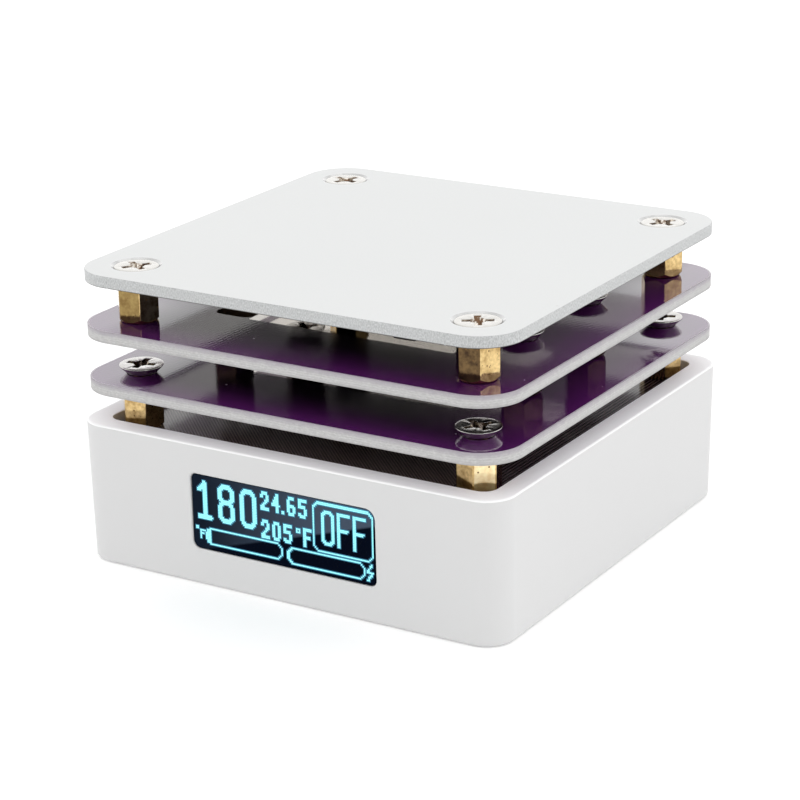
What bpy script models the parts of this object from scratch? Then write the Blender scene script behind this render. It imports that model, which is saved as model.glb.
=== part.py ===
# Small square soldering preheater: an aluminium heating plate on brass standoffs above two
# heat shields cut from circuit board, on a moulded case with a display in its front wall.
# The origin is the centre of the case's underside, +Z is up and the display faces -Y.
# Lengths are in metres.

from math import cos
from math import pi
from math import radians
from math import sin
from math import sqrt

import bmesh
import bpy
from mathutils import Matrix
from mathutils import Vector

MM = 0.001

# The stack of sheets
BODY_SIDE = 60.0 * MM  # side of the three sheets, and of the case at its rim
SHEET_CORNER = 5.5 * MM
PLATE_THICKNESS = 1.5 * MM
PLATE_EDGE_BREAK = 0.12 * MM
SHIELD_THICKNESS = 1.5 * MM
UPPER_GAP = 5.5 * MM  # heating plate to upper shield
MIDDLE_GAP = 5.3 * MM  # upper shield to lower shield
LOWER_GAP = 5.4 * MM  # lower shield to control board
SCREW_INSET = 6.1 * MM  # sheet edge to the axes of the corner screws
MIDDLE_INSET = 9.0 * MM  # left and right edges to the axes of the middle screws
MIDDLE_SPREAD = 16.6 * MM  # front to rear between them
SEAT_GAP = 0.1 * MM  # between faces that rest on each other

# Standoffs and screws
STANDOFF_FLATS = 4.8 * MM
STANDOFF_BORE = 3.1 * MM
STANDOFF_CHAMFER_WIDTH = 0.5 * MM
STANDOFF_CHAMFER_HEIGHT = 0.6 * MM
HEAD_DIAMETER = 5.5 * MM
HEAD_RIM = 0.2 * MM
SHANK_DIAMETER = 2.9 * MM
SHANK_POINT = 0.3 * MM
SCREW_GRIP = 2.1 * MM  # length of thread inside a standoff
RECESS_SPAN = 3.1 * MM
RECESS_WIDTH = 0.72 * MM
RECESS_DEPTH = 1.1 * MM
RECESS_TAPER = 0.42  # size of the recess at its floor, as a part of its mouth
SCREW_HOLE = 3.8 * MM  # clearance holes in sheets, board and case
COUNTERSINK_DIAMETER = 6.3 * MM

# Case
CASE_HEIGHT = 18.3 * MM
CASE_DRAFT = 0.25 * MM  # each wall leans out by this much over its height
CASE_CORNER = 3.7 * MM
CASE_WALL = 2.84 * MM  # at the rim
CASE_MOUTH_CORNER = 1.8 * MM
CASE_FLOOR = 1.8 * MM
CASE_FOOT_ROUND = 0.6 * MM
CASE_RIM_ROUND = 0.3 * MM
COLUMN_DIAMETER = 6.6 * MM

# Control board
BOARD_THICKNESS = 1.6 * MM
BOARD_SIDE_GAP = 0.2 * MM
BOARD_DROP = 1.4 * MM  # rim to the board's upper face
BOARD_CORNER = 1.5 * MM

# Display
WINDOW_WIDTH = 26.2 * MM
WINDOW_HEIGHT = 9.75 * MM
WINDOW_SHIFT = 0.2 * MM  # the window is a little right of the middle
WINDOW_DROP = 3.8 * MM  # rim to the window's upper edge
WINDOW_CORNER = 0.8 * MM
WINDOW_LARGE_CORNER = 1.35 * MM  # upper right
LENS_FIT = 0.1 * MM
LENS_RECESS = 0.12 * MM
LENS_STEP = 1.4 * MM  # front of the lens to the flange behind it
LENS_FLANGE = 0.7 * MM
LENS_FLANGE_MARGIN = 0.6 * MM
PANEL_THICKNESS = 1.3 * MM
FLEX_WIDTH = 12.0 * MM
FLEX_THICKNESS = 0.3 * MM
FLEX_REACH = 3.4 * MM

# Buttons on the left wall
BUTTON_PITCH = 9.5 * MM
BUTTON_DROP = 4.4 * MM  # board's underside to the buttons' axes
BUTTON_DIAMETER = 4.2 * MM
BUTTON_FIT = 0.15 * MM
BUTTON_PROUD = 0.6 * MM
BUTTON_ROUND = 0.35 * MM
BUTTON_COLLAR = 0.75 * MM
BUTTON_COLLAR_LIP = 0.7 * MM
BUTTON_TRAVEL = 0.4 * MM
PLUNGER_DIAMETER = 2.6 * MM
PLUNGER_REACH = 1.0 * MM  # cap to the switch body
PLUNGER_DEPTH = 1.3 * MM  # inside the switch body
SWITCH_WIDTH = 6.2 * MM
SWITCH_DEPTH = 3.6 * MM
SWITCH_BELOW = 3.0 * MM  # plunger's axis to the underside of the switch body
SWITCH_LEG = 0.5 * MM

# Power socket in the rear wall
SOCKET_WIDTH = 8.94 * MM
SOCKET_HEIGHT = 3.26 * MM
SOCKET_LENGTH = 7.35 * MM
SOCKET_SKIN = 0.3 * MM
SOCKET_BACK = 1.2 * MM
SOCKET_FIT = 0.3 * MM
SOCKET_RECESS = 0.4 * MM
TONGUE_WIDTH = 6.6 * MM
TONGUE_HEIGHT = 0.7 * MM

# Parts under the board and under the plate
CHIP_SIDE = 7.0 * MM
CHIP_HEIGHT = 1.4 * MM
CHIP_LEG_REACH = 1.0 * MM
CHIP_LEG_WIDTH = 0.3 * MM
CHIP_LEG_PITCH = 0.8 * MM
CHIP_LEG_COUNT = 7
TRANSISTOR_WIDTH = 6.5 * MM
TRANSISTOR_LENGTH = 6.1 * MM
TRANSISTOR_HEIGHT = 2.3 * MM
CAPACITOR_DIAMETER = 6.3 * MM
CAPACITOR_HEIGHT = 5.4 * MM
TRACK_THICKNESS = 0.15 * MM
TRACK_WIDTH = 1.6 * MM
TRACK_PITCH = 2.5 * MM
TRACK_LANES = 17
TRACK_MARGIN = 5.0 * MM  # sheet edge to the ends of the lanes
THERMISTOR_LENGTH = 3.2 * MM
THERMISTOR_WIDTH = 1.6 * MM
THERMISTOR_HEIGHT = 0.9 * MM

# Facets
CORNER_STEPS = 6
ROUND_STEPS = 18
SCREW_STEPS = 14
FILLET_STEPS = 2
OVERCUT = 1.0 * MM

# Heights and places worked out from the sizes above
BOARD_TOP = CASE_HEIGHT - BOARD_DROP
BOARD_BOTTOM = BOARD_TOP - BOARD_THICKNESS
LOWER_SHIELD_BOTTOM = BOARD_TOP + LOWER_GAP
LOWER_SHIELD_TOP = LOWER_SHIELD_BOTTOM + SHIELD_THICKNESS
UPPER_SHIELD_BOTTOM = LOWER_SHIELD_TOP + MIDDLE_GAP
UPPER_SHIELD_TOP = UPPER_SHIELD_BOTTOM + SHIELD_THICKNESS
PLATE_BOTTOM = UPPER_SHIELD_TOP + UPPER_GAP
PLATE_TOP = PLATE_BOTTOM + PLATE_THICKNESS
SHEET_HALF = BODY_SIDE / 2
SCREW_AXIS = SHEET_HALF - SCREW_INSET
MOUTH_HALF = SHEET_HALF - CASE_WALL
WINDOW_TOP = CASE_HEIGHT - WINDOW_DROP
WINDOW_MIDDLE = WINDOW_TOP - WINDOW_HEIGHT / 2
BUTTON_AXIS = BOARD_BOTTOM - BUTTON_DROP
SOCKET_AXIS = BOARD_BOTTOM - SEAT_GAP - SOCKET_HEIGHT / 2
CORNERS = [(1, -1), (1, 1), (-1, 1), (-1, -1)]  # front right, rear right, rear left, front left
SLOT_TURNS = [4, 37, 71, 58, 22, 85, 49, 12]  # degrees, how the screws happen to stop
HEX_TURNS = [7, 5, 20, 10]  # degrees, how the standoffs happen to stand
LOWER_HEX_TURNS = [45, 10, 33, 11]


def clear_scene():
    for thing in list(bpy.data.objects):
        bpy.data.objects.remove(thing, do_unlink=True)


def make_material(name, colour, roughness, metallic=0.0):
    material = bpy.data.materials.new(name)
    material.use_nodes = True
    shader = material.node_tree.nodes["Principled BSDF"]
    shader.inputs["Base Color"].default_value = (*colour, 1.0)
    shader.inputs["Roughness"].default_value = roughness
    shader.inputs["Metallic"].default_value = metallic
    return material


def mesh_from(bm, name):
    bmesh.ops.recalc_face_normals(bm, faces=bm.faces)
    mesh = bpy.data.meshes.new(name)
    bm.to_mesh(mesh)
    bm.free()
    mesh.shade_smooth()
    mesh.set_sharp_from_angle(angle=radians(32))
    return mesh


def place(name, mesh, material=None, location=(0, 0, 0), turn=0.0, flip=False):
    thing = bpy.data.objects.new(name, mesh)
    thing.location = location
    thing.rotation_euler = (pi if flip else 0.0, 0.0, turn)
    if material is not None and not mesh.materials:
        mesh.materials.append(material)
    bpy.context.collection.objects.link(thing)
    return thing


def cutter(name, mesh, location=(0, 0, 0)):
    thing = place(name, mesh, location=location)
    thing.hide_render = True
    thing.display_type = "WIRE"
    return thing


def combine(thing, other, operation="DIFFERENCE"):
    modifier = thing.modifiers.new(other.name, "BOOLEAN")
    modifier.operation = operation
    modifier.object = other
    modifier.solver = "EXACT"


def settle(thing):
    """The mesh of an object with its modifiers applied, for several objects to share."""
    bpy.context.view_layer.update()
    graph = bpy.context.evaluated_depsgraph_get()
    mesh = bpy.data.meshes.new_from_object(thing.evaluated_get(graph))
    mesh.name = thing.name
    return mesh


def discard(*things):
    for thing in things:
        bpy.data.objects.remove(thing, do_unlink=True)


def rectangle_points(half_x, half_y, radii):
    """Rounded rectangle, anticlockwise from its lower right corner."""
    points = []
    signs = [(1, -1), (1, 1), (-1, 1), (-1, -1)]
    for number, (sign_x, sign_y) in enumerate(signs):
        radius = radii[number]
        for step in range(CORNER_STEPS + 1):
            angle = (number - 1 + step / CORNER_STEPS) * pi / 2
            x = sign_x * (half_x - radius) + radius * cos(angle)
            y = sign_y * (half_y - radius) + radius * sin(angle)
            points.append((x, y))
    return points


def square_ring(half, radius, z):
    return [(x, y, z) for x, y in rectangle_points(half, half, [radius] * 4)]


def add_loft(bm, rings):
    """Closed body through rings of equal length, with a flat face at each end."""
    rows = [[bm.verts.new(point) for point in ring] for ring in rings]
    count = len(rows[0])
    for low, high in zip(rows, rows[1:]):
        for number in range(count):
            after = (number + 1) % count
            bm.faces.new((low[number], low[after], high[after], high[number]))
    bm.faces.new(list(reversed(rows[0])))
    bm.faces.new(rows[-1])


def loft(name, rings):
    bm = bmesh.new()
    add_loft(bm, rings)
    return mesh_from(bm, name)


def add_box(bm, low, high):
    corners = [(low[0], low[1]), (high[0], low[1]), (high[0], high[1]), (low[0], high[1])]
    add_loft(bm, [[(x, y, z) for x, y in corners] for z in (low[2], high[2])])


def box(name, low, high):
    bm = bmesh.new()
    add_box(bm, low, high)
    return mesh_from(bm, name)


def turned(name, profile, steps=ROUND_STEPS):
    """Solid of revolution about Z, from a profile of (radius, height) that starts and ends on
    the axis."""
    bm = bmesh.new()
    start = bm.verts.new((0, 0, profile[0][1]))
    end = bm.verts.new((0, 0, profile[-1][1]))
    rows = []
    for radius, height in profile[1:-1]:
        row = []
        for step in range(steps):
            angle = 2 * pi * step / steps
            row.append(bm.verts.new((radius * cos(angle), radius * sin(angle), height)))
        rows.append(row)
    for step in range(steps):
        after = (step + 1) % steps
        bm.faces.new((start, rows[0][step], rows[0][after]))
        bm.faces.new((end, rows[-1][after], rows[-1][step]))
        for low, high in zip(rows, rows[1:]):
            bm.faces.new((low[step], low[after], high[after], high[step]))
    return mesh_from(bm, name)


def cylinder(name, radius, low, high, steps=ROUND_STEPS):
    return turned(name, [(0, low), (radius, low), (radius, high), (0, high)], steps)


def slab(name, points, low, high):
    return loft(name, [[(x, y, z) for x, y in points] for z in (low, high)])


def case_half(height):
    return SHEET_HALF - CASE_DRAFT * (1 - height / CASE_HEIGHT)


def corner_places():
    return [(x * SCREW_AXIS, y * SCREW_AXIS) for x, y in CORNERS]


def middle_places():
    reach = SHEET_HALF - MIDDLE_INSET
    return [(x * reach, y * MIDDLE_SPREAD / 2) for x, y in CORNERS]


# Screws and standoffs


def recess_cutter():
    """Cross with tapering wings, its mouth just above z = 0 and its floor below."""
    arm = RECESS_SPAN / 2
    web = RECESS_WIDTH / 2
    quarter = [(web, -arm), (web, -web), (arm, -web)]
    cross = []
    for turn in range(4):
        spin = Matrix.Rotation(turn * pi / 2, 2)
        cross.extend(spin @ Vector(point) for point in quarter)
    slope = (1 - RECESS_TAPER) / RECESS_DEPTH
    rings = []
    for z in (-RECESS_DEPTH, OVERCUT / 4):
        scale = 1 + slope * z
        rings.append([(point.x * scale, point.y * scale, z) for point in cross])
    return cutter("recess_cutter", loft("recess_cutter", rings))


def screw_mesh(name, length):
    """Countersunk screw pointing down, its overall length below z = 0."""
    head = HEAD_DIAMETER / 2
    shank = SHANK_DIAMETER / 2
    cone = head - shank
    tip = -length
    profile = [
        (0, 0),
        (head - HEAD_RIM / 2, 0),
        (head, -HEAD_RIM),
        (shank, -HEAD_RIM - cone),
        (shank, tip + SHANK_POINT),
        (shank - SHANK_POINT, tip),
        (0, tip),
    ]
    blank = place(name, turned(name, profile, SCREW_STEPS))
    recess = recess_cutter()
    combine(blank, recess)
    mesh = settle(blank)
    discard(blank, recess)
    return mesh


def head_seat():
    """How far the head's widest edge stands off the face whose plain hole its cone rests in."""
    return (HEAD_DIAMETER - SCREW_HOLE) / 2 + SEAT_GAP


def countersunk_depth():
    """How deep the head's top lies in a countersink."""
    return (COUNTERSINK_DIAMETER - HEAD_DIAMETER) / 2 - HEAD_RIM - SEAT_GAP


def add_screws(group, mesh, material, places, height, up=False, first=0):
    for number, (x, y) in enumerate(places):
        turn = radians(SLOT_TURNS[(first + number) % len(SLOT_TURNS)])
        name = f"{group}_{number + 1}"
        place(name, mesh, material, (x, y, height), turn, flip=up)


def standoff_mesh(name, length):
    """Hexagonal spacer with turned ends and a bore right through it, from z = 0 up."""
    corner = STANDOFF_FLATS / sqrt(3)
    hexagon = []
    for side in range(6):
        angle = side * pi / 3
        hexagon.append((corner * cos(angle), corner * sin(angle)))
    end = corner - STANDOFF_CHAMFER_WIDTH
    swell = corner + STANDOFF_CHAMFER_WIDTH
    rise = STANDOFF_CHAMFER_HEIGHT * (swell - end) / STANDOFF_CHAMFER_WIDTH
    profile = [
        (0, 0),
        (end, 0),
        (swell, rise),
        (swell, length - rise),
        (end, length),
        (0, length),
    ]
    blank = place(name, slab(name, hexagon, 0, length))
    ends = cutter("turned_ends", turned("turned_ends", profile))
    radius = STANDOFF_BORE / 2
    bore_mesh = cylinder("bore", radius, -OVERCUT, length + OVERCUT, SCREW_STEPS)
    bore = cutter("bore", bore_mesh)
    combine(blank, ends, "INTERSECT")
    combine(blank, bore)
    mesh = settle(blank)
    discard(blank, ends, bore)
    return mesh


def add_standoffs(group, gap, material, places, height, turns):
    mesh = standoff_mesh(group, gap - 2 * SEAT_GAP)
    for number, (x, y) in enumerate(places):
        turn = radians(turns[number])
        place(f"{group}_{number + 1}", mesh, material, (x, y, height + SEAT_GAP), turn)


# Sheets


def drill(thing, group, places, low, high, diameter=SCREW_HOLE):
    """Straight holes through a sheet, all cut by one object."""
    bm = bmesh.new()
    ring = []
    for step in range(SCREW_STEPS):
        angle = 2 * pi * step / SCREW_STEPS
        ring.append((diameter / 2 * cos(angle), diameter / 2 * sin(angle)))
    for x, y in places:
        rings = [[(x + u, y + v, z) for u, v in ring] for z in (low - OVERCUT, high + OVERCUT)]
        add_loft(bm, rings)
    combine(thing, cutter(group, mesh_from(bm, group)))


def add_heating_plate(material):
    edge = PLATE_EDGE_BREAK
    rings = [
        square_ring(SHEET_HALF - edge, SHEET_CORNER - edge, PLATE_BOTTOM),
        square_ring(SHEET_HALF, SHEET_CORNER, PLATE_BOTTOM + edge),
        square_ring(SHEET_HALF, SHEET_CORNER, PLATE_TOP - edge),
        square_ring(SHEET_HALF - edge, SHEET_CORNER - edge, PLATE_TOP),
    ]
    plate = place("heating_plate", loft("heating_plate", rings), material)
    drill(plate, "plate_holes", corner_places(), PLATE_BOTTOM, PLATE_TOP)
    mouth = COUNTERSINK_DIAMETER / 2
    depth = mouth - SCREW_HOLE / 2
    profile = [
        (0, -depth - SCREW_HOLE / 2),
        (SCREW_HOLE / 4, -depth - SCREW_HOLE / 4),
        (mouth + OVERCUT, OVERCUT),
        (0, OVERCUT),
    ]
    mesh = turned("countersink", profile)
    for number, (x, y) in enumerate(corner_places()):
        sink = cutter(f"countersink_{number + 1}", mesh, (x, y, PLATE_TOP))
        combine(plate, sink)


def add_shield(name, bottom, material):
    rings = []
    for z in (bottom, bottom + SHIELD_THICKNESS):
        rings.append(square_ring(SHEET_HALF, SHEET_CORNER, z))
    shield = place(name, loft(name, rings), material)
    places = corner_places() + middle_places()
    drill(shield, name + "_holes", places, bottom, bottom + SHIELD_THICKNESS)


def ribbon(points, width):
    """Outline of a flat track of even width along a line of right-angled turns."""
    left = []
    right = []
    for number, point in enumerate(points):
        before = points[max(number - 1, 0)]
        after = points[min(number + 1, len(points) - 1)]
        arrive = Vector(point) - Vector(before)
        leave = Vector(after) - Vector(point)
        arrive = arrive.normalized() if arrive.length > 0 else leave.normalized()
        leave = leave.normalized() if leave.length > 0 else arrive
        side = Vector((-arrive.y, arrive.x))
        if arrive.dot(leave) < 0.5:
            side = side + Vector((-leave.y, leave.x))
        side = side * (width / 2)
        left.append((point[0] + side.x, point[1] + side.y))
        right.append((point[0] - side.x, point[1] - side.y))
    return left + right[::-1]


def track_route():
    """Lanes to and fro across the plate. The outer lanes stop short of the corner standoffs."""
    long_reach = SHEET_HALF - TRACK_MARGIN
    short_reach = SCREW_AXIS - STANDOFF_FLATS
    route = []
    for lane in range(TRACK_LANES):
        y = (lane - (TRACK_LANES - 1) / 2) * TRACK_PITCH
        near_corner = abs(y) + TRACK_PITCH > short_reach
        reach = short_reach if near_corner else long_reach
        direction = 1 if lane % 2 == 0 else -1
        route.append((-direction * reach, y))
        route.append((direction * reach, y))
    squared = [route[0]]
    for before, after in zip(route, route[1:]):
        if abs(before[0] - after[0]) > MM and abs(before[1] - after[1]) > MM / 10:
            nearer = min(before[0], after[0], key=abs)
            if abs(before[0]) > abs(nearer):
                squared[-1] = (nearer, before[1])
                squared.append((nearer, after[1]))
            else:
                squared.append((before[0], after[1]))
        else:
            squared.append(after)
    return squared


def add_heater(track_material, bead_material):
    top = PLATE_BOTTOM - SEAT_GAP
    bottom = top - TRACK_THICKNESS
    outline = ribbon(track_route(), TRACK_WIDTH)
    place("heater_track", slab("heater_track", outline, bottom, top), track_material)
    bead_top = bottom - SEAT_GAP
    low = (-THERMISTOR_LENGTH / 2, -THERMISTOR_WIDTH / 2, bead_top - THERMISTOR_HEIGHT)
    high = (THERMISTOR_LENGTH / 2, THERMISTOR_WIDTH / 2, bead_top)
    place("thermistor", box("thermistor", low, high), bead_material)


# Case


def case_blank():
    """Outer skin, with a rounded foot and a rounded rim."""
    rings = []
    for step in range(FILLET_STEPS + 1):
        angle = step / FILLET_STEPS * pi / 2
        z = CASE_FOOT_ROUND * (1 - cos(angle))
        shrink = CASE_FOOT_ROUND * (1 - sin(angle))
        rings.append(square_ring(case_half(z) - shrink, CASE_CORNER - shrink, z))
    for step in range(FILLET_STEPS + 1):
        angle = step / FILLET_STEPS * pi / 2
        z = CASE_HEIGHT - CASE_RIM_ROUND * (1 - sin(angle))
        shrink = CASE_RIM_ROUND * (1 - cos(angle))
        rings.append(square_ring(case_half(z) - shrink, CASE_CORNER - shrink, z))
    return loft("base_case", rings)


def pocket_cutter():
    """The case's inside, less the four columns that carry the board."""
    low = CASE_FLOOR
    rings = [square_ring(MOUTH_HALF, CASE_MOUTH_CORNER, z) for z in (low, CASE_HEIGHT + OVERCUT)]
    pocket = cutter("pocket", loft("pocket", rings))
    column_top = BOARD_BOTTOM - SEAT_GAP
    for number, (x, y) in enumerate(corner_places()):
        name = f"column_{number + 1}"
        mesh = cylinder(name, COLUMN_DIAMETER / 2, -OVERCUT, column_top)
        combine(pocket, cutter(name, mesh, (x, y, 0)))
    return pocket


def window_points(grow=0.0):
    radii = [WINDOW_CORNER, WINDOW_LARGE_CORNER, WINDOW_CORNER, WINDOW_CORNER]
    half_x = WINDOW_WIDTH / 2 + grow
    half_z = WINDOW_HEIGHT / 2 + grow
    return rectangle_points(half_x, half_z, [radius + grow for radius in radii])


def wall_slab(name, points, near, far):
    """Slab parallel to the front wall, centred on the window, between two depths from the
    middle of the case."""
    rings = []
    for y in (-near, -far):
        rings.append([(WINDOW_SHIFT + u, y, WINDOW_MIDDLE + v) for u, v in points])
    return loft(name, rings)


def lens_front():
    return case_half(WINDOW_TOP - WINDOW_HEIGHT) - LENS_RECESS


def flange_points(grow=0.0):
    """The flange reaches up to the board, which keeps the lens from lifting."""
    half_x = WINDOW_WIDTH / 2 + LENS_FLANGE_MARGIN + grow
    top = BOARD_BOTTOM - SEAT_GAP - WINDOW_MIDDLE + grow
    bottom = -WINDOW_HEIGHT / 2 - LENS_FLANGE_MARGIN - grow
    points = rectangle_points(half_x, (top - bottom) / 2, [WINDOW_CORNER] * 4)
    return [(u, v + (top + bottom) / 2) for u, v in points]


def button_places():
    return [(number - 1) * BUTTON_PITCH for number in range(3)]


def along_x(mesh, flip=False):
    """Turns a mesh made along +Z to lie along +X, or -X if flipped."""
    turn = Matrix.Rotation(-pi / 2 if flip else pi / 2, 4, "Y")
    mesh.transform(turn)
    return mesh


def socket_points(grow=0.0):
    half_x = SOCKET_WIDTH / 2 + grow
    half_z = SOCKET_HEIGHT / 2 + grow
    return rectangle_points(half_x, half_z, [half_z * 0.96] * 4)


def rear_slab(name, points, near, far):
    rings = []
    for y in (near, far):
        rings.append([(-u, y, SOCKET_AXIS + v) for u, v in points])
    return loft(name, rings)


def add_case(material):
    case = place("base_case", case_blank(), material)
    combine(case, pocket_cutter())
    outside = SHEET_HALF + OVERCUT
    window = wall_slab("window", window_points(), MOUTH_HALF - OVERCUT, outside)
    combine(case, cutter("window", window))
    step = lens_front() - LENS_STEP
    rebate = wall_slab("rebate", flange_points(LENS_FIT), MOUTH_HALF - OVERCUT, step + LENS_FIT)
    combine(case, cutter("rebate", rebate))
    hole = BUTTON_DIAMETER / 2 + BUTTON_FIT
    for number, y in enumerate(button_places()):
        name = f"button_hole_{number + 1}"
        mesh = along_x(cylinder(name, hole, MOUTH_HALF - OVERCUT, outside), flip=True)
        combine(case, cutter(name, mesh, (0, y, BUTTON_AXIS)))
    port = rear_slab("port", socket_points(SOCKET_FIT), MOUTH_HALF - OVERCUT, outside)
    combine(case, cutter("port", port))
    column_top = BOARD_BOTTOM - SEAT_GAP
    drill(case, "case_holes", corner_places(), 0, column_top)
    mouth = COUNTERSINK_DIAMETER / 2
    depth = mouth - SCREW_HOLE / 4
    profile = [(0, -OVERCUT), (mouth + OVERCUT, -OVERCUT), (SCREW_HOLE / 4, depth), (0, depth)]
    sink_mesh = turned("base_countersink", profile, SCREW_STEPS)
    clear_radius = STANDOFF_FLATS / sqrt(3) + SEAT_GAP
    clear_mesh = cylinder("clearance", clear_radius, BOARD_TOP, CASE_HEIGHT + OVERCUT)
    for number, (x, y) in enumerate(corner_places()):
        combine(case, cutter(f"base_countersink_{number + 1}", sink_mesh, (x, y, 0)))
        combine(case, cutter(f"standoff_clearance_{number + 1}", clear_mesh, (x, y, 0)))


def add_board(material):
    half = MOUTH_HALF - BOARD_SIDE_GAP
    rings = [square_ring(half, BOARD_CORNER, z) for z in (BOARD_BOTTOM, BOARD_TOP)]
    board = place("control_board", loft("control_board", rings), material)
    drill(board, "board_holes", corner_places(), BOARD_BOTTOM, BOARD_TOP)


# Display


def add_display(lens_material, panel_material, flex_material):
    front = lens_front()
    step = front - LENS_STEP
    back = step - LENS_FLANGE
    bm = bmesh.new()
    boss = window_points(-LENS_FIT)
    flange = flange_points()
    rings = []
    for points, y in ((flange, back), (flange, step), (boss, step), (boss, front)):
        rings.append([(WINDOW_SHIFT + u, -y, WINDOW_MIDDLE + v) for u, v in points])
    add_loft(bm, rings)
    place("display_lens", mesh_from(bm, "display_lens"), lens_material)
    panel_front = back - SEAT_GAP
    panel_back = panel_front - PANEL_THICKNESS
    panel = wall_slab("display_panel", flange, panel_back, panel_front)
    place("display_panel", panel, panel_material)
    flex_start = panel_back - SEAT_GAP
    low = WINDOW_MIDDLE
    top = BOARD_BOTTOM - SEAT_GAP
    outer = [(flex_start, low), (flex_start, top), (flex_start - FLEX_REACH, top)]
    thin = FLEX_THICKNESS
    inner = [
        (flex_start - FLEX_REACH, top - thin),
        (flex_start - thin, top - thin),
        (flex_start - thin, low),
    ]
    rings = []
    for x in (-FLEX_WIDTH / 2, FLEX_WIDTH / 2):
        rings.append([(WINDOW_SHIFT + x, -depth, z) for depth, z in outer + inner])
    place("display_flex", loft("display_flex", rings), flex_material)


# Buttons


def add_buttons(cap_material, plunger_material, switch_material):
    radius = BUTTON_DIAMETER / 2
    collar = radius + BUTTON_COLLAR_LIP
    face = case_half(BUTTON_AXIS) + BUTTON_PROUD
    seat = MOUTH_HALF - SEAT_GAP
    back = seat - BUTTON_COLLAR
    bevel = BUTTON_ROUND
    cap_profile = [
        (0, face),
        (radius - bevel, face),
        (radius - bevel * (1 - sin(pi / 4)), face - bevel * (1 - cos(pi / 4))),
        (radius, face - bevel),
        (radius, seat),
        (collar, seat),
        (collar, back),
        (0, back),
    ]
    cap_mesh = along_x(turned("button_cap", cap_profile), flip=True)
    plunger_top = back - SEAT_GAP
    switch_front = plunger_top - PLUNGER_REACH
    plunger_end = switch_front - PLUNGER_DEPTH
    plunger = cylinder("plunger", PLUNGER_DIAMETER / 2, plunger_end, plunger_top, SCREW_STEPS)
    plunger_mesh = along_x(plunger, flip=True)
    switch_back = switch_front - SWITCH_DEPTH
    half = SWITCH_WIDTH / 2
    top = BOARD_BOTTOM - SEAT_GAP - BUTTON_AXIS
    well_radius = PLUNGER_DIAMETER / 2 + BUTTON_FIT
    well_end = plunger_end - BUTTON_TRAVEL - BUTTON_FIT
    well = along_x(cylinder("well", well_radius, well_end, switch_front + OVERCUT), flip=True)
    switch = box("switch", (-switch_front, -half, -SWITCH_BELOW), (-switch_back, half, top))
    leg_half = half - SWITCH_LEG
    notch = box(
        "notch",
        (-switch_front - OVERCUT, -leg_half, top - SWITCH_LEG),
        (-switch_back + OVERCUT, leg_half, top + OVERCUT),
    )
    blank = place("switch", switch)
    well_cutter = cutter("well", well)
    notch_cutter = cutter("notch", notch)
    combine(blank, well_cutter)
    combine(blank, notch_cutter)
    switch_mesh = settle(blank)
    discard(blank, well_cutter, notch_cutter)
    for number, y in enumerate(button_places()):
        spot = (0, y, BUTTON_AXIS)
        place(f"button_cap_{number + 1}", cap_mesh, cap_material, spot)
        place(f"switch_plunger_{number + 1}", plunger_mesh, plunger_material, spot)
        place(f"switch_body_{number + 1}", switch_mesh, switch_material, spot)


# Socket and the parts under the board


def add_socket(material):
    """Flat metal shell, closed at the back, with the contact tongue inside."""
    front = case_half(SOCKET_AXIS) - SOCKET_RECESS
    back = front - SOCKET_LENGTH
    shell = place("usb_socket", rear_slab("usb_socket", socket_points(), back, front), material)
    inside = rear_slab(
        "socket_inside",
        socket_points(-SOCKET_SKIN),
        back + SOCKET_BACK,
        front + OVERCUT,
    )
    hollow = cutter("socket_inside", inside)
    tongue = box(
        "tongue",
        (-TONGUE_WIDTH / 2, back, SOCKET_AXIS - TONGUE_HEIGHT / 2),
        (TONGUE_WIDTH / 2, front - SOCKET_BACK, SOCKET_AXIS + TONGUE_HEIGHT / 2),
    )
    combine(hollow, cutter("tongue", tongue))
    combine(shell, hollow)


def add_chip(material):
    """Square package with a row of legs on each of its four sides."""
    top = BOARD_BOTTOM - SEAT_GAP
    body_top = top - CHIP_HEIGHT / 8
    half = CHIP_SIDE / 2
    bm = bmesh.new()
    add_box(bm, (-half, -half, top - CHIP_HEIGHT), (half, half, body_top))
    body = place("controller_chip", mesh_from(bm, "controller_chip"), material)
    legs = bmesh.new()
    reach = half + CHIP_LEG_REACH
    for number in range(CHIP_LEG_COUNT):
        v = (number - (CHIP_LEG_COUNT - 1) / 2) * CHIP_LEG_PITCH
        low = v - CHIP_LEG_WIDTH / 2
        high = v + CHIP_LEG_WIDTH / 2
        foot = top - CHIP_HEIGHT / 4
        add_box(legs, (-reach, low, foot), (-half + CHIP_LEG_WIDTH, high, top))
        add_box(legs, (half - CHIP_LEG_WIDTH, low, foot), (reach, high, top))
        add_box(legs, (low, -reach, foot), (high, -half + CHIP_LEG_WIDTH, top))
        add_box(legs, (low, half - CHIP_LEG_WIDTH, foot), (high, reach, top))
    combine(body, cutter("chip_legs", mesh_from(legs, "chip_legs")), "UNION")


def add_transistor(material):
    """Surface-mounted package with a wide metal tab at its rear and two legs at its front."""
    top = BOARD_BOTTOM - SEAT_GAP
    x = -MOUTH_HALF / 2
    y = MOUTH_HALF / 3
    half = TRANSISTOR_WIDTH / 2
    low = top - TRANSISTOR_HEIGHT
    bm = bmesh.new()
    add_box(bm, (x - half, y, low), (x + half, y + TRANSISTOR_LENGTH, top))
    body = place("power_transistor", mesh_from(bm, "power_transistor"), material)
    tab = TRANSISTOR_HEIGHT / 4
    metal = bmesh.new()
    rear = y + TRANSISTOR_LENGTH
    add_box(metal, (x - half * 0.8, rear - tab, top - tab), (x + half * 0.8, rear + 2 * tab, top))
    for side in (-1, 1):
        middle = x + side * half * 0.7
        add_box(metal, (middle - tab, y - 4 * tab, top - tab), (middle + tab, y + tab, top))
    combine(body, cutter("transistor_metal", mesh_from(metal, "transistor_metal")), "UNION")


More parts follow.
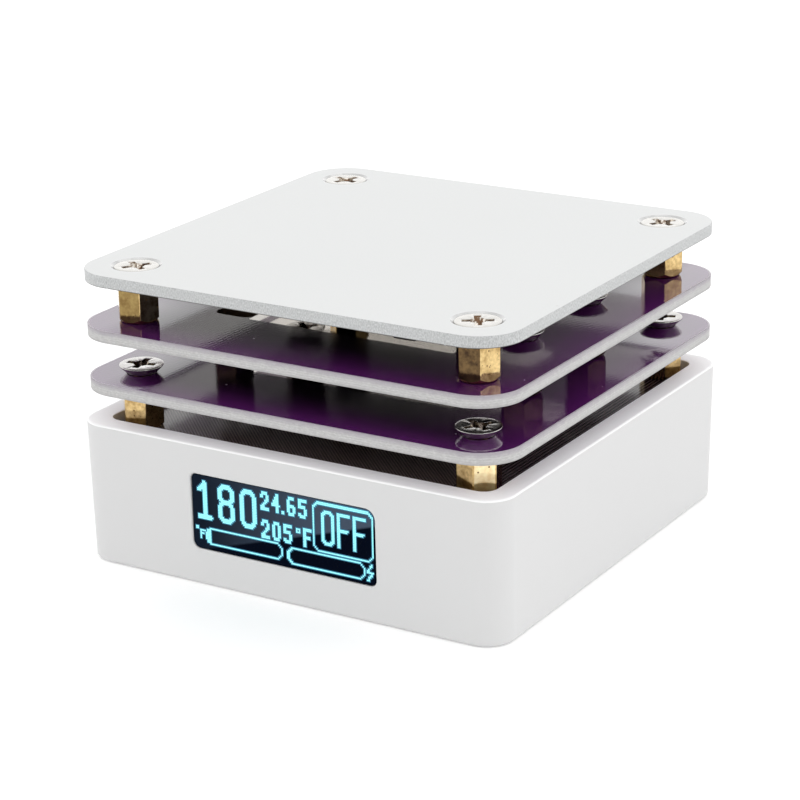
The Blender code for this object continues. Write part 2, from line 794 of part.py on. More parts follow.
def add_capacitor(material):
    """Round can on a square foot, hanging under the board."""
    top = BOARD_BOTTOM - SEAT_GAP
    radius = CAPACITOR_DIAMETER / 2
    foot = CAPACITOR_HEIGHT / 8
    neck = CAPACITOR_HEIGHT * 0.7
    profile = [
        (0, -CAPACITOR_HEIGHT),
        (radius - foot / 2, -CAPACITOR_HEIGHT),
        (radius, -CAPACITOR_HEIGHT + foot / 2),
        (radius, -neck),
        (radius - foot / 3, -neck + foot / 3),
        (radius, -neck + foot),
        (radius, -foot / 2),
        (0, -foot / 2),
    ]
    spot = (MOUTH_HALF / 2, MOUTH_HALF / 3, top)
    can = place("input_capacitor", turned("input_capacitor", profile), material, spot)
    side = radius * 1.05
    base = box("capacitor_foot", (-side, -side, -foot), (side, side, 0))
    combine(can, cutter("capacitor_foot", base, spot), "UNION")


def build():
    clear_scene()
    white = make_material("white_plastic", (0.80, 0.80, 0.79), 0.55)
    silver = make_material("bead_blasted_aluminium", (0.78, 0.80, 0.79), 0.45, 0.6)
    purple = make_material("purple_solder_mask", (0.14, 0.03, 0.20), 0.18)
    dark = make_material("dark_solder_mask", (0.03, 0.015, 0.03), 0.3)
    brass = make_material("brass", (0.72, 0.50, 0.22), 0.3, 1.0)
    nickel = make_material("nickel", (0.75, 0.74, 0.72), 0.15, 1.0)
    copper = make_material("heater_foil", (0.45, 0.22, 0.12), 0.4, 1.0)
    black = make_material("black_resin", (0.02, 0.02, 0.02), 0.5)
    glass = make_material("black_glass", (0.01, 0.012, 0.02), 0.05)
    amber = make_material("flex_film", (0.45, 0.22, 0.04), 0.4)
    tin = make_material("tinned_steel", (0.6, 0.6, 0.62), 0.3, 1.0)
    grey = make_material("grey_plastic", (0.35, 0.35, 0.36), 0.5)

    add_case(white)
    add_board(dark)
    add_display(glass, black, amber)
    add_buttons(white, grey, black)
    add_socket(tin)
    add_chip(black)
    add_transistor(black)
    add_capacitor(tin)
    add_shield("lower_shield", LOWER_SHIELD_BOTTOM, purple)
    add_shield("upper_shield", UPPER_SHIELD_BOTTOM, purple)
    add_heating_plate(silver)
    add_heater(copper, black)

    corners = corner_places()
    middles = middle_places()
    add_standoffs("lower_standoff", LOWER_GAP, brass, corners, BOARD_TOP, LOWER_HEX_TURNS)
    add_standoffs("middle_standoff", MIDDLE_GAP, brass, middles, LOWER_SHIELD_TOP, HEX_TURNS)
    add_standoffs("upper_standoff", UPPER_GAP, brass, corners, UPPER_SHIELD_TOP, HEX_TURNS)

    proud = HEAD_RIM + head_seat()
    sunk = countersunk_depth()
    reach = SEAT_GAP + SCREW_GRIP
    plate_screw = screw_mesh("plate_screw", PLATE_THICKNESS - sunk + reach)
    shield_screw = screw_mesh("shield_screw", proud + SHIELD_THICKNESS + reach)
    base_screw = screw_mesh("base_screw", BOARD_TOP - sunk + reach)
    add_screws("plate_screw", plate_screw, nickel, corners, PLATE_TOP - sunk)
    below = UPPER_SHIELD_BOTTOM - proud
    add_screws("upper_corner_screw", shield_screw, nickel, corners, below, up=True, first=2)
    above = UPPER_SHIELD_TOP + proud
    add_screws("upper_middle_screw", shield_screw, nickel, middles, above, first=4)
    below = LOWER_SHIELD_BOTTOM - proud
    add_screws("lower_middle_screw", shield_screw, nickel, middles, below, up=True, first=1)
    above = LOWER_SHIELD_TOP + proud
    add_screws("lower_corner_screw", shield_screw, nickel, corners, above, first=3)
    add_screws("base_screw", base_screw, nickel, corners, sunk, up=True, first=6)
    bpy.context.view_layer.update()


build()
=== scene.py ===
import math

import bmesh
import bpy
from mathutils import Matrix
from mathutils import Vector


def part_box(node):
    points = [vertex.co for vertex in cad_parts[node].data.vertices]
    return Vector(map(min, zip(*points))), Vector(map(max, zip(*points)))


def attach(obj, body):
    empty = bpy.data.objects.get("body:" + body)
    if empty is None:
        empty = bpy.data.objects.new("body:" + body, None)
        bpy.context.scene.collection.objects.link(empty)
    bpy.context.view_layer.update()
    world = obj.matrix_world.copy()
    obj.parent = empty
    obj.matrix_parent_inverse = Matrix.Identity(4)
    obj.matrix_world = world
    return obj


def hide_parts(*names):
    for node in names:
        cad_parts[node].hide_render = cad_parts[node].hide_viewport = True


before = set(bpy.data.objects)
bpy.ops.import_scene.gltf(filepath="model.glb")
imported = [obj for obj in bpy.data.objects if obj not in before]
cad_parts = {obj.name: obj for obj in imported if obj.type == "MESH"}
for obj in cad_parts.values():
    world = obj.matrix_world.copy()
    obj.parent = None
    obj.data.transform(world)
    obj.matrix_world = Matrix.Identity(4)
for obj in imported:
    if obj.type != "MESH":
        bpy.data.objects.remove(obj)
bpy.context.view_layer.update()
mm = 0.001
tiny = 1e-7  # metres, merges only what coincides
slotRound = 0.96  # a slot's ends are this share of a half circle
print("frame loaded:", len(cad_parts), "nodes")


# camera and light

camera = {
    "place": (162.07, -266.79, 124.45),  # mm
    "turn": 31.469,  # degrees round the object, from its front
    "height": 19.024,  # degrees above the horizon
    "tilt": -1.007,
    "lens": 116.70,
}


def addCamera():
    turn = Matrix.Rotation(math.radians(camera["turn"]), 4, "Z")
    height = Matrix.Rotation(math.radians(90 - camera["height"]), 4, "X")
    tilt = Matrix.Rotation(math.radians(camera["tilt"]), 4, "Z")
    bpy.ops.object.camera_add(
        location=Vector(camera["place"]) * mm,
        rotation=(turn @ height @ tilt).to_euler(),
    )
    eye = bpy.context.object
    eye.name = "mainCamera"
    eye.data.lens = camera["lens"]
    eye.data.clip_start = 0.01
    bpy.context.scene.camera = eye


studio = {
    "behind": 1.42,  # sky strength low down behind the object
    "zenith": 0.98,  # overhead
    "front": 0.10,  # low down on the camera's side
    "frontHigh": 1.60,  # and half the way up there
    "frontWay": (0.45, -0.89, 0.0),
    "floorColour": (0.90, 0.90, 0.90),
    "floorGlow": 0.16,
    "floorSize": 8.0,
    "lamps": [
        # name, place in metres, size, watts
        ("topLamp", (0.10, 0.30, 0.75), 0.6, 0.35),
        ("leftLamp", (-0.60, -0.42, 0.36), 0.35, 0.2),
        ("rightLamp", (0.68, -0.34, 0.36), 0.35, 0.5),
    ],
}


def addStudio():
    world = bpy.data.worlds.new("paleStudio")
    bpy.context.scene.world = world
    world.use_nodes = True
    tree = world.node_tree
    sky = tree.nodes["Background"]
    sky.inputs["Color"].default_value = (1, 1, 1, 1)
    way = addNode(tree, "TexCoord")
    parts = addNode(tree, "SeparateXYZ")
    join(tree, way, "Generated", parts, 0)
    rear = rangeNode(tree, (parts, "Z"), 0.0, 0.7, studio["behind"], studio["zenith"])
    near = rangeNode(tree, (parts, "Z"), 0.20, 0.65, studio["front"], studio["frontHigh"])
    facing = addNode(tree, "VectorMath", operation="DOT_PRODUCT")
    join(tree, way, "Generated", facing, 0)
    facing.inputs[1].default_value = studio["frontWay"]
    share = rangeNode(tree, (facing, "Value"), 0.1, 0.6, 0.0, 1.0)
    gap = mathNode(tree, "SUBTRACT", (near, "Result"), (rear, "Result"))
    part = mathNode(tree, "MULTIPLY", (gap, 0), (share, "Result"))
    total = mathNode(tree, "ADD", (rear, "Result"), (part, 0))
    join(tree, total, 0, sky, "Strength")
    bpy.context.scene.view_settings.view_transform = "Standard"
    for name, place, size, watts in studio["lamps"]:
        aim = (Vector((0, 0, 0.02)) - Vector(place)).to_track_quat("-Z", "Y")
        bpy.ops.object.light_add(type="AREA", location=place, rotation=aim.to_euler())
        lamp = bpy.context.object
        lamp.name = name
        lamp.data.shape = "SQUARE"
        lamp.data.size = size
        lamp.data.energy = watts
    bpy.ops.mesh.primitive_plane_add(size=studio["floorSize"], location=(0, 0, 0))
    floor = bpy.context.object
    floor.name = "floor"
    pale = bpy.data.materials.new("floorPaint")
    pale.use_nodes = True
    paint = pale.node_tree.nodes["Principled BSDF"]
    paint.inputs["Base Color"].default_value = (*studio["floorColour"], 1)
    paint.inputs["Roughness"].default_value = 0.9
    paint.inputs["Emission Color"].default_value = (1, 1, 1, 1)
    paint.inputs["Emission Strength"].default_value = studio["floorGlow"]
    floor.data.materials.append(pale)


# modelling steps that several pieces share


def clearChoice():
    if bpy.context.object and bpy.context.object.mode != "OBJECT":
        bpy.ops.object.mode_set(mode="OBJECT")
    bpy.ops.object.select_all(action="DESELECT")


def focus(piece):
    clearChoice()
    piece.select_set(True)
    bpy.context.view_layer.objects.active = piece


def applyPlace():
    bpy.ops.object.transform_apply(location=True, rotation=True, scale=True)


def addBlock(name, low, high):
    clearChoice()
    low = Vector(low)
    high = Vector(high)
    bpy.ops.mesh.primitive_cube_add(size=1, location=(low + high) / 2)
    piece = bpy.context.object
    piece.name = name
    piece.scale = high - low
    applyPlace()
    return piece


def addRod(name, centre, radius, length, axis="Z", sides=48, topRadius=None):
    # centre is the middle of the rod, and topRadius makes it a cone
    clearChoice()
    turn = {"X": (0, math.pi / 2, 0), "Y": (-math.pi / 2, 0, 0), "Z": (0, 0, 0)}[axis]
    bpy.ops.mesh.primitive_cone_add(
        vertices=sides,
        radius1=radius,
        radius2=radius if topRadius is None else topRadius,
        depth=length,
        location=centre,
        rotation=turn,
    )
    piece = bpy.context.object
    piece.name = name
    applyPlace()
    return piece


def choose(piece, kind, test):
    focus(piece)
    bpy.ops.object.mode_set(mode="EDIT")
    bpy.ops.mesh.select_mode(type=kind)
    bpy.ops.mesh.select_all(action="DESELECT")
    shape = bmesh.from_edit_mesh(piece.data)
    parts = {"VERT": shape.verts, "EDGE": shape.edges, "FACE": shape.faces}[kind]
    for part in parts:
        if test(part):
            part.select_set(True)
    shape.select_flush_mode()
    bmesh.update_edit_mesh(piece.data)


def roundChosen(width, steps):
    bpy.ops.mesh.bevel(offset=width, segments=steps, profile=0.5, affect="EDGES")
    bpy.ops.object.mode_set(mode="OBJECT")


def roundEdges(piece, test, width, steps):
    choose(piece, "EDGE", test)
    roundChosen(width, steps)


def isUpright(edge):
    run = edge.verts[1].co - edge.verts[0].co
    return abs(run.z) > 0.98 * run.length


def isDeep(edge):
    return abs((edge.verts[1].co - edge.verts[0].co).y) > mm


def isLevelAt(height):
    # edges at a height where a level face meets a steep one
    def test(edge):
        near = all(abs(vert.co.z - height) < 1e-6 for vert in edge.verts)
        slopes = [abs(face.normal.z) for face in edge.link_faces]
        return near and max(slopes) > 0.9 and min(slopes) < 0.5

    return test


def cut(piece, tool, how="DIFFERENCE"):
    focus(piece)
    bpy.ops.object.modifier_add(type="BOOLEAN")
    step = piece.modifiers[-1]
    step.operation = how
    step.object = tool
    step.solver = "EXACT"
    bpy.ops.object.modifier_apply(modifier=step.name)
    bpy.data.objects.remove(tool, do_unlink=True)


def roundedBlock(name, low, high, corner, steps):
    piece = addBlock(name, low, high)
    roundEdges(piece, isUpright, corner, steps)
    return piece


def turnProfile(name, profile, steps):
    # spins a line of (radius, height) points, in metres, round the Z axis
    clearChoice()
    side = 0.001
    bpy.ops.mesh.primitive_plane_add(size=2 * side, location=(side, side, 0))
    piece = bpy.context.object
    piece.name = name
    applyPlace()
    choose(piece, "VERT", lambda vert: vert.co.length > side)
    bpy.ops.mesh.delete(type="VERT")
    bpy.ops.mesh.select_all(action="SELECT")
    here = Vector((0, 0, 0))
    for number, (radius, height) in enumerate(profile):
        move = Vector((radius, 0, height)) - here
        if number == 0:
            bpy.ops.transform.translate(value=move)
        else:
            bpy.ops.mesh.extrude_region_move(TRANSFORM_OT_translate={"value": move})
        here = here + move
    bpy.ops.mesh.select_all(action="SELECT")
    bpy.ops.mesh.spin(steps=steps, angle=2 * math.pi, center=(0, 0, 0), axis=(0, 0, 1))
    bpy.ops.mesh.select_all(action="SELECT")
    bpy.ops.mesh.remove_doubles(threshold=tiny)
    bpy.ops.mesh.normals_make_consistent(inside=False)
    bpy.ops.object.mode_set(mode="OBJECT")
    return piece


def polish(piece, angle=30):
    # merges what coincides, points faces outwards and shades level faces flat
    focus(piece)
    bpy.ops.object.mode_set(mode="EDIT")
    bpy.ops.mesh.select_all(action="SELECT")
    bpy.ops.mesh.remove_doubles(threshold=tiny)
    bpy.ops.mesh.normals_make_consistent(inside=False)
    bpy.ops.object.mode_set(mode="OBJECT")
    bpy.ops.object.shade_smooth_by_angle(angle=math.radians(angle))
    bpy.ops.object.modifier_add(type="WEIGHTED_NORMAL")
    step = piece.modifiers[-1]
    step.keep_sharp = True
    bpy.ops.object.modifier_apply(modifier=step.name)


def copyTo(piece, name, place, turn=0.0, upsideDown=False):
    focus(piece)
    bpy.ops.object.duplicate(linked=False)
    copy = bpy.context.object
    copy.name = name
    copy.rotation_euler = (math.pi if upsideDown else 0, 0, turn)
    copy.location = place
    applyPlace()
    return copy


def settle(piece, finishes, nodes, body="base"):
    marks = [face.material_index for face in piece.data.polygons]
    piece.data.materials.clear()  # this also forgets which face has which finish
    for finish in finishes:
        piece.data.materials.append(finish)
    for face, mark in zip(piece.data.polygons, marks):
        face.material_index = mark if mark < len(finishes) else 0
    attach(piece, body)
    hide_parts(*nodes)


def paintFaces(piece, index, test):
    for face in piece.data.polygons:
        if test(face):
            face.material_index = index


# shader building


def startFinish(name, colour, roughness, metallic=0.0):
    finish = bpy.data.materials.new(name)
    finish.use_nodes = True
    tree = finish.node_tree
    shader = tree.nodes["Principled BSDF"]
    shader.inputs["Base Color"].default_value = (*colour, 1)
    shader.inputs["Roughness"].default_value = roughness
    shader.inputs["Metallic"].default_value = metallic
    return finish, tree, shader


def addNode(tree, kind, **values):
    # values named like sockets set them, with underscores for spaces
    node = tree.nodes.new("ShaderNode" + kind)
    for key, value in values.items():
        if hasattr(node, key):
            setattr(node, key, value)
        else:
            node.inputs[key.replace("_", " ")].default_value = value
    return node


def join(tree, fromNode, fromName, toNode, toName):
    tree.links.new(fromNode.outputs[fromName], toNode.inputs[toName])


def mathNode(tree, operation, first, second):
    # each of first and second is a number or a (node, output name)
    node = tree.nodes.new("ShaderNodeMath")
    node.operation = operation
    for number, value in enumerate((first, second)):
        if isinstance(value, tuple):
            tree.links.new(value[0].outputs[value[1]], node.inputs[number])
        else:
            node.inputs[number].default_value = value
    return node


def rangeNode(tree, source, low, high, toLow, toHigh):
    node = tree.nodes.new("ShaderNodeMapRange")
    tree.links.new(source[0].outputs[source[1]], node.inputs["Value"])
    node.inputs["From Min"].default_value = low
    node.inputs["From Max"].default_value = high
    node.inputs["To Min"].default_value = toLow
    node.inputs["To Max"].default_value = toHigh
    return node


def mixColours(tree, share, first, second):
    node = tree.nodes.new("ShaderNodeMix")
    node.data_type = "RGBA"
    factor = node.inputs[0]
    if isinstance(share, tuple):
        tree.links.new(share[0].outputs[share[1]], factor)
    else:
        factor.default_value = share
    for value, socket in ((first, node.inputs[6]), (second, node.inputs[7])):
        if isinstance(value, tuple) and isinstance(value[0], bpy.types.Node):
            tree.links.new(value[0].outputs[value[1]], socket)
        else:
            socket.default_value = (*value, 1)
    return node


def objectParts(tree):
    # X, Y and Z of the object coordinates
    place = addNode(tree, "TexCoord")
    split = addNode(tree, "SeparateXYZ")
    join(tree, place, "Object", split, 0)
    return split


def addGloss(tree, shader, source, low, high):
    # roughness from low to high over the usual range of a noise
    rough = rangeNode(tree, source, 0.3, 0.7, low, high)
    join(tree, rough, "Result", shader, "Roughness")


def shaded(colour, share):
    return tuple(share * part for part in colour)


def startGroup(name, inputs, outputs):
    tree = bpy.data.node_groups.new(name, "ShaderNodeTree")
    for label, value in inputs:
        kind = "NodeSocketVector" if isinstance(value, tuple) else "NodeSocketFloat"
        socket = tree.interface.new_socket(label, in_out="INPUT", socket_type=kind)
        socket.default_value = value
    for label in outputs:
        tree.interface.new_socket(label, in_out="OUTPUT", socket_type="NodeSocketFloat")
    return tree, tree.nodes.new("NodeGroupInput"), tree.nodes.new("NodeGroupOutput")


def useGroup(tree, group, **values):
    node = tree.nodes.new("ShaderNodeGroup")
    node.node_tree = group
    for key, value in values.items():
        node.inputs[key].default_value = value
    return node


def makeGrainGroup():
    # fine even grain with slow patches, on stretched object coordinates
    tree, inside, outside = startGroup(
        "fineGrain",
        [("Scale", 4000.0), ("Stretch", (1.0, 1.0, 1.0)), ("Patches", 60.0)],
        ["Grain", "Patch"],
    )
    place = addNode(tree, "TexCoord")
    stretch = addNode(tree, "VectorMath", operation="MULTIPLY")
    join(tree, place, "Object", stretch, 0)
    join(tree, inside, "Stretch", stretch, 1)
    grain = addNode(tree, "TexNoise", Detail=3.0, Roughness=0.6)
    join(tree, stretch, "Vector", grain, "Vector")
    join(tree, inside, "Scale", grain, "Scale")
    patch = addNode(tree, "TexNoise", Detail=2.0, Roughness=0.5)
    join(tree, place, "Object", patch, "Vector")
    join(tree, inside, "Patches", patch, "Scale")
    join(tree, grain, "Fac", outside, "Grain")
    join(tree, patch, "Fac", outside, "Patch")
    return tree


def makeSpecksGroup():
    # scattered specks of dust, whiter where Density is higher
    tree, inside, outside = startGroup(
        "dustSpecks", [("Scale", 900.0), ("Size", 0.12), ("Density", 0.1)], ["Specks"]
    )
    place = addNode(tree, "TexCoord")
    cells = addNode(tree, "TexVoronoi")
    join(tree, place, "Object", cells, "Vector")
    join(tree, inside, "Scale", cells, "Scale")
    near = mathNode(tree, "LESS_THAN", (cells, "Distance"), 0.1)
    join(tree, inside, "Size", near, 1)
    split = addNode(tree, "SeparateColor")
    join(tree, cells, "Color", split, 0)
    rare = mathNode(tree, "LESS_THAN", (split, 0), 0.1)
    join(tree, inside, "Density", rare, 1)
    both = mathNode(tree, "MULTIPLY", (near, 0), (rare, 0))
    join(tree, both, 0, outside, "Specks")
    return tree


def makeEdgeGroup():
    # mask of outer edges, from the shape's own curvature
    tree, inside, outside = startGroup(
        "edgeHighlightMask", [("Start", 0.52), ("End", 0.62)], ["Edges"]
    )
    shape = addNode(tree, "NewGeometry")
    ramp = rangeNode(tree, (shape, "Pointiness"), 0.52, 0.62, 0.0, 1.0)
    join(tree, inside, "Start", ramp, "From Min")
    join(tree, inside, "End", ramp, "From Max")
    join(tree, ramp, "Result", outside, "Edges")
    return tree


def makeLinesGroup():
    # parallel lines along one way, wavering a little
    tree, inside, outside = startGroup(
        "parallelLines",
        [("Direction", (1.0, 0.0, 0.0)), ("Pitch", 0.00025), ("Waver", 0.1)],
        ["Lines"],
    )
    place = addNode(tree, "TexCoord")
    along = addNode(tree, "VectorMath", operation="DOT_PRODUCT")
    join(tree, place, "Object", along, 0)
    join(tree, inside, "Direction", along, 1)
    count = mathNode(tree, "DIVIDE", (along, "Value"), 1.0)
    join(tree, inside, "Pitch", count, 1)
    drift = addNode(tree, "TexNoise", Scale=300.0, Detail=1.0)
    join(tree, place, "Object", drift, "Vector")
    shift = mathNode(tree, "MULTIPLY", (drift, "Fac"), 0.1)
    join(tree, inside, "Waver", shift, 1)
    total = mathNode(tree, "ADD", (count, 0), (shift, 0))
    saw = mathNode(tree, "PINGPONG", (total, 0), 0.5)
    lines = rangeNode(tree, (saw, 0), 0.12, 0.38, 0.0, 1.0)
    join(tree, lines, "Result", outside, "Lines")
    return tree


grainGroup = makeGrainGroup()
specksGroup = makeSpecksGroup()
edgeGroup = makeEdgeGroup()
linesGroup = makeLinesGroup()


def addBump(tree, shader, source, strength, depth):
    # depth is the height of the relief in metres
    bump = addNode(tree, "Bump", Strength=strength, Distance=depth)
    tree.links.new(source[0].outputs[source[1]], bump.inputs["Height"])
    join(tree, bump, "Normal", shader, "Normal")
    return bump


def caseFinish(name="casePlastic", body=(0.690, 0.690, 0.690), glow=0.0, edgeHighlight=0.0):
    # glow is painted light, an emission that lifts the rim out of the shade of the shields; the edge
    # share paints a highlight along its edges
    colours = {"body": body, "patch": shaded(body, 0.986)}
    finish, tree, shader = startFinish(name, colours["body"], 0.5)
    grain = useGroup(tree, grainGroup, Scale=5200.0, Patches=45.0)
    specks = useGroup(tree, specksGroup, Scale=260.0, Size=0.045, Density=0.12)
    edges = useGroup(tree, edgeGroup, Start=0.52, End=0.70)
    patched = mixColours(tree, (grain, "Patch"), colours["patch"], colours["body"])
    # painted highlight: the rim's edges are mixed towards a paler colour
    highlightShare = mathNode(tree, "MULTIPLY", (edges, "Edges"), edgeHighlight)
    pale = shaded(body, 1.06)
    withPaintedLight = mixColours(tree, (highlightShare, 0), (patched, 2), pale)
    dusty = mixColours(tree, (specks, "Specks"), (withPaintedLight, 2), (0.42, 0.41, 0.40))
    join(tree, dusty, 2, shader, "Base Color")
    addGloss(tree, shader, (grain, "Grain"), 0.42, 0.58)
    addBump(tree, shader, (grain, "Grain"), 0.25, 0.00003)
    # painted light: the glow is light the surface gives off of its own
    shader.inputs["Emission Color"].default_value = (1.0, 1.0, 1.0, 1.0)
    shader.inputs["Emission Strength"].default_value = glow
    return finish


def plateFaceFinish():
    colours = {"metal": (0.710, 0.718, 0.715), "dull": (0.695, 0.703, 0.700)}
    finish, tree, shader = startFinish("plateFace", colours["metal"], 0.5, 0.35)
    grain = useGroup(tree, grainGroup, Scale=7000.0, Patches=35.0)
    specks = useGroup(tree, specksGroup, Scale=240.0, Size=0.04, Density=0.10)
    patched = mixColours(tree, (grain, "Patch"), colours["dull"], colours["metal"])
    dusty = mixColours(tree, (specks, "Specks"), (patched, 2), (0.62, 0.62, 0.61))
    join(tree, dusty, 2, shader, "Base Color")
    addGloss(tree, shader, (grain, "Grain"), 0.40, 0.60)
    addBump(tree, shader, (grain, "Grain"), 0.35, 0.00002)
    return finish


def plateEdgeFinish():
    colours = {"bright": (0.62, 0.63, 0.63), "dark": (0.42, 0.43, 0.43)}
    finish, tree, shader = startFinish("plateEdge", colours["bright"], 0.45, 0.4)
    grain = useGroup(tree, grainGroup, Scale=7500.0, Patches=400.0, Stretch=(1.0, 1.0, 0.5))
    sharp = rangeNode(tree, (grain, "Grain"), 0.36, 0.66, 0.0, 1.0)
    tone = mixColours(tree, (sharp, "Result"), colours["dark"], colours["bright"])
    join(tree, tone, 2, shader, "Base Color")
    rough = rangeNode(tree, (grain, "Grain"), 0.35, 0.65, 0.55, 0.35)
    join(tree, rough, "Result", shader, "Roughness")
    addBump(tree, shader, (grain, "Grain"), 0.35, 0.00003)
    return finish


def bareFinish(name, colour, smooth, dull, relief):
    # bare bright metal with uneven gloss
    finish, tree, shader = startFinish(name, colour, smooth, 1.0)
    grain = useGroup(tree, grainGroup, Scale=2600.0, Patches=110.0)
    shade = shaded(colour, 0.9)
    tone = mixColours(tree, (grain, "Patch"), shade, colour)
    join(tree, tone, 2, shader, "Base Color")
    addGloss(tree, shader, (grain, "Patch"), smooth, dull)
    addBump(tree, shader, (grain, "Grain"), relief, 0.00001)
    return finish


def maskFinish():
    # purple solder mask, darker away from its front and side edges as painted shade between the sheets,
    # with faint lines and dust
    colours = {
        "mask": (0.105, 0.016, 0.130),
        "deep": (0.080, 0.011, 0.100),
        "copper": (0.012, 0.009, 0.013),  # painted shade, away from the front and side edges
    }
    # metres from the middle, where each change starts and where it ends
    spans = {
        "copperSides": (0.012, 0.026),
        "copperFront": (-0.0215, -0.0285),
        "glossSides": (0.019, 0.026),
        "glossEnds": (0.009, 0.018),
    }
    finish, tree, shader = startFinish("purpleMask", colours["mask"], 0.06)
    grain = useGroup(tree, grainGroup, Scale=2600.0, Patches=130.0)
    lines = useGroup(tree, linesGroup, Pitch=0.00060, Waver=0.5, Direction=(0.0, 1.0, 0.0))
    across = useGroup(tree, linesGroup, Pitch=0.00056, Waver=0.5)
    specks = useGroup(tree, specksGroup, Scale=420.0, Size=0.06, Density=0.13)
    clear = mixColours(tree, (grain, "Patch"), colours["deep"], colours["mask"])
    split = objectParts(tree)
    aside = mathNode(tree, "ABSOLUTE", (split, "X"), 0.0)
    sides = rangeNode(tree, (aside, 0), *spans["copperSides"], 0.0, 1.0)
    front = rangeNode(tree, (split, "Y"), *spans["copperFront"], 0.0, 1.0)
    border = mathNode(tree, "MAXIMUM", (sides, "Result"), (front, "Result"))
    reach = mathNode(tree, "ABSOLUTE", (split, "Y"), 0.0)
    outer = rangeNode(tree, (aside, 0), *spans["glossSides"], 0.0, 0.85)
    ends = rangeNode(tree, (reach, 0), *spans["glossEnds"], 0.0, 1.0)
    gloss = mathNode(tree, "MULTIPLY", (outer, "Result"), (ends, "Result"))
    join(tree, gloss, 0, shader, "Coat Weight")  # the mask is thicker towards the corners
    # painted shade: the mask turns dark away from the front and side edges
    patched = mixColours(tree, (border, 0), colours["copper"], (clear, 2))
    dusty = mixColours(tree, (specks, "Specks"), (patched, 2), (0.62, 0.58, 0.66))
    join(tree, dusty, 2, shader, "Base Color")
    shader.inputs["Specular IOR Level"].default_value = 0.62
    addGloss(tree, shader, (grain, "Grain"), 0.03, 0.09)
    weave = mathNode(tree, "ADD", (lines, "Lines"), (across, "Lines"))
    relief = mathNode(tree, "ADD", (weave, 0), (grain, "Grain"))
    addBump(tree, shader, (relief, 0), 0.14, 0.00001)
    return finish


def laminateFinish(name, node):
    # routed edge of glass cloth and resin, greyer towards the masked faces
    colours = {
        "fibre": (0.62, 0.615, 0.61),
        "resin": (0.47, 0.465, 0.46),
        "high": (0.37, 0.335, 0.38),
        "low": (0.38, 0.37, 0.37),
    }
    low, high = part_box(node)
    finish, tree, shader = startFinish(name, colours["fibre"], 0.85)
    grain = useGroup(tree, grainGroup, Scale=5200.0, Patches=900.0, Stretch=(0.55, 0.55, 1.3))
    layers = useGroup(tree, linesGroup, Pitch=0.00030, Waver=0.7, Direction=(0.0, 0.0, 1.0))
    fibres = mathNode(tree, "MULTIPLY", (layers, "Lines"), 0.14)
    mixed = mathNode(tree, "ADD", (fibres, 0), (grain, "Grain"))
    share = rangeNode(tree, (mixed, 0), 0.40, 0.85, 0.0, 1.0)
    tone = mixColours(tree, (share, "Result"), colours["resin"], colours["fibre"])
    split = objectParts(tree)
    waver = rangeNode(tree, (grain, "Patch"), 0.3, 0.7, -0.00012, 0.00012)
    height = mathNode(tree, "ADD", (split, "Z"), (waver, "Result"))
    thick = high.z - low.z
    near = rangeNode(tree, (height, 0), high.z - 0.45 * thick, high.z - 0.1 * thick, 0.0, 0.75)
    upper = mixColours(tree, (near, "Result"), (tone, 2), colours["high"])
    far = rangeNode(tree, (height, 0), low.z + 0.25 * thick, low.z, 0.0, 0.7)
    lower = mixColours(tree, (far, "Result"), (upper, 2), colours["low"])
    join(tree, lower, 2, shader, "Base Color")
    addBump(tree, shader, (mixed, 0), 0.5, 0.00004)
    return finish


def stripFinish():
    # bare strip of laminate between the mask and the routed edge
    finish, tree, shader = startFinish("bareStrip", (0.60, 0.57, 0.61), 0.45)
    grain = useGroup(tree, grainGroup, Scale=3800.0, Patches=500.0)
    tone = mixColours(tree, (grain, "Patch"), (0.48, 0.42, 0.50), (0.68, 0.66, 0.68))
    join(tree, tone, 2, shader, "Base Color")
    addBump(tree, shader, (grain, "Grain"), 0.3, 0.00003)
    return finish


def brassFinish(name, clean, dull, smooth=0.05, rough=0.14):
    colours = {"clean": clean, "dull": dull}
    finish, tree, shader = startFinish(name, colours["clean"], 0.3, 1.0)
    drawn = useGroup(tree, grainGroup, Scale=3600.0, Patches=700.0, Stretch=(1.0, 1.0, 0.22))
    mottle = useGroup(tree, grainGroup, Scale=4200.0, Patches=2400.0)
    specks = useGroup(tree, specksGroup, Scale=2200.0, Size=0.24, Density=0.17)
    fine = mathNode(tree, "MULTIPLY", (mottle, "Patch"), 0.8)
    both = mathNode(tree, "ADD", (drawn, "Patch"), (fine, 0))
    share = rangeNode(tree, (both, 0), 0.66, 1.12, 0.0, 1.0)
    tone = mixColours(tree, (share, "Result"), colours["dull"], colours["clean"])
    spotted = mixColours(tree, (specks, "Specks"), (tone, 2), (0.16, 0.09, 0.04))
    join(tree, spotted, 2, shader, "Base Color")
    addGloss(tree, shader, (drawn, "Grain"), smooth, rough)
    addBump(tree, shader, (drawn, "Grain"), 0.35, 0.00003)
    return finish


def nickelFinish(name, colour):
    finish, tree, shader = startFinish(name, colour, 0.12, 1.0)
    grain = useGroup(tree, grainGroup, Scale=2400.0, Patches=520.0)
    addGloss(tree, shader, (grain, "Patch"), 0.13, 0.24)
    addBump(tree, shader, (grain, "Grain"), 0.05, 0.00001)
    return finish


def recessFinish(name, grime, metal):
    # pressed cross with brown grime in it; its metal is darker than the head's as painted shade
    finish, tree, shader = startFinish(name, metal, 0.2, 1.0)
    grain = useGroup(tree, grainGroup, Scale=2600.0, Patches=2100.0)
    share = rangeNode(tree, (grain, "Patch"), 0.42, 0.56, 0.0, 1.0)
    tone = mixColours(tree, (share, "Result"), grime, metal)
    join(tree, tone, 2, shader, "Base Color")
    addGloss(tree, shader, (grain, "Patch"), 0.32, 0.12)
    addBump(tree, shader, (grain, "Grain"), 0.5, 0.00006)
    return finish


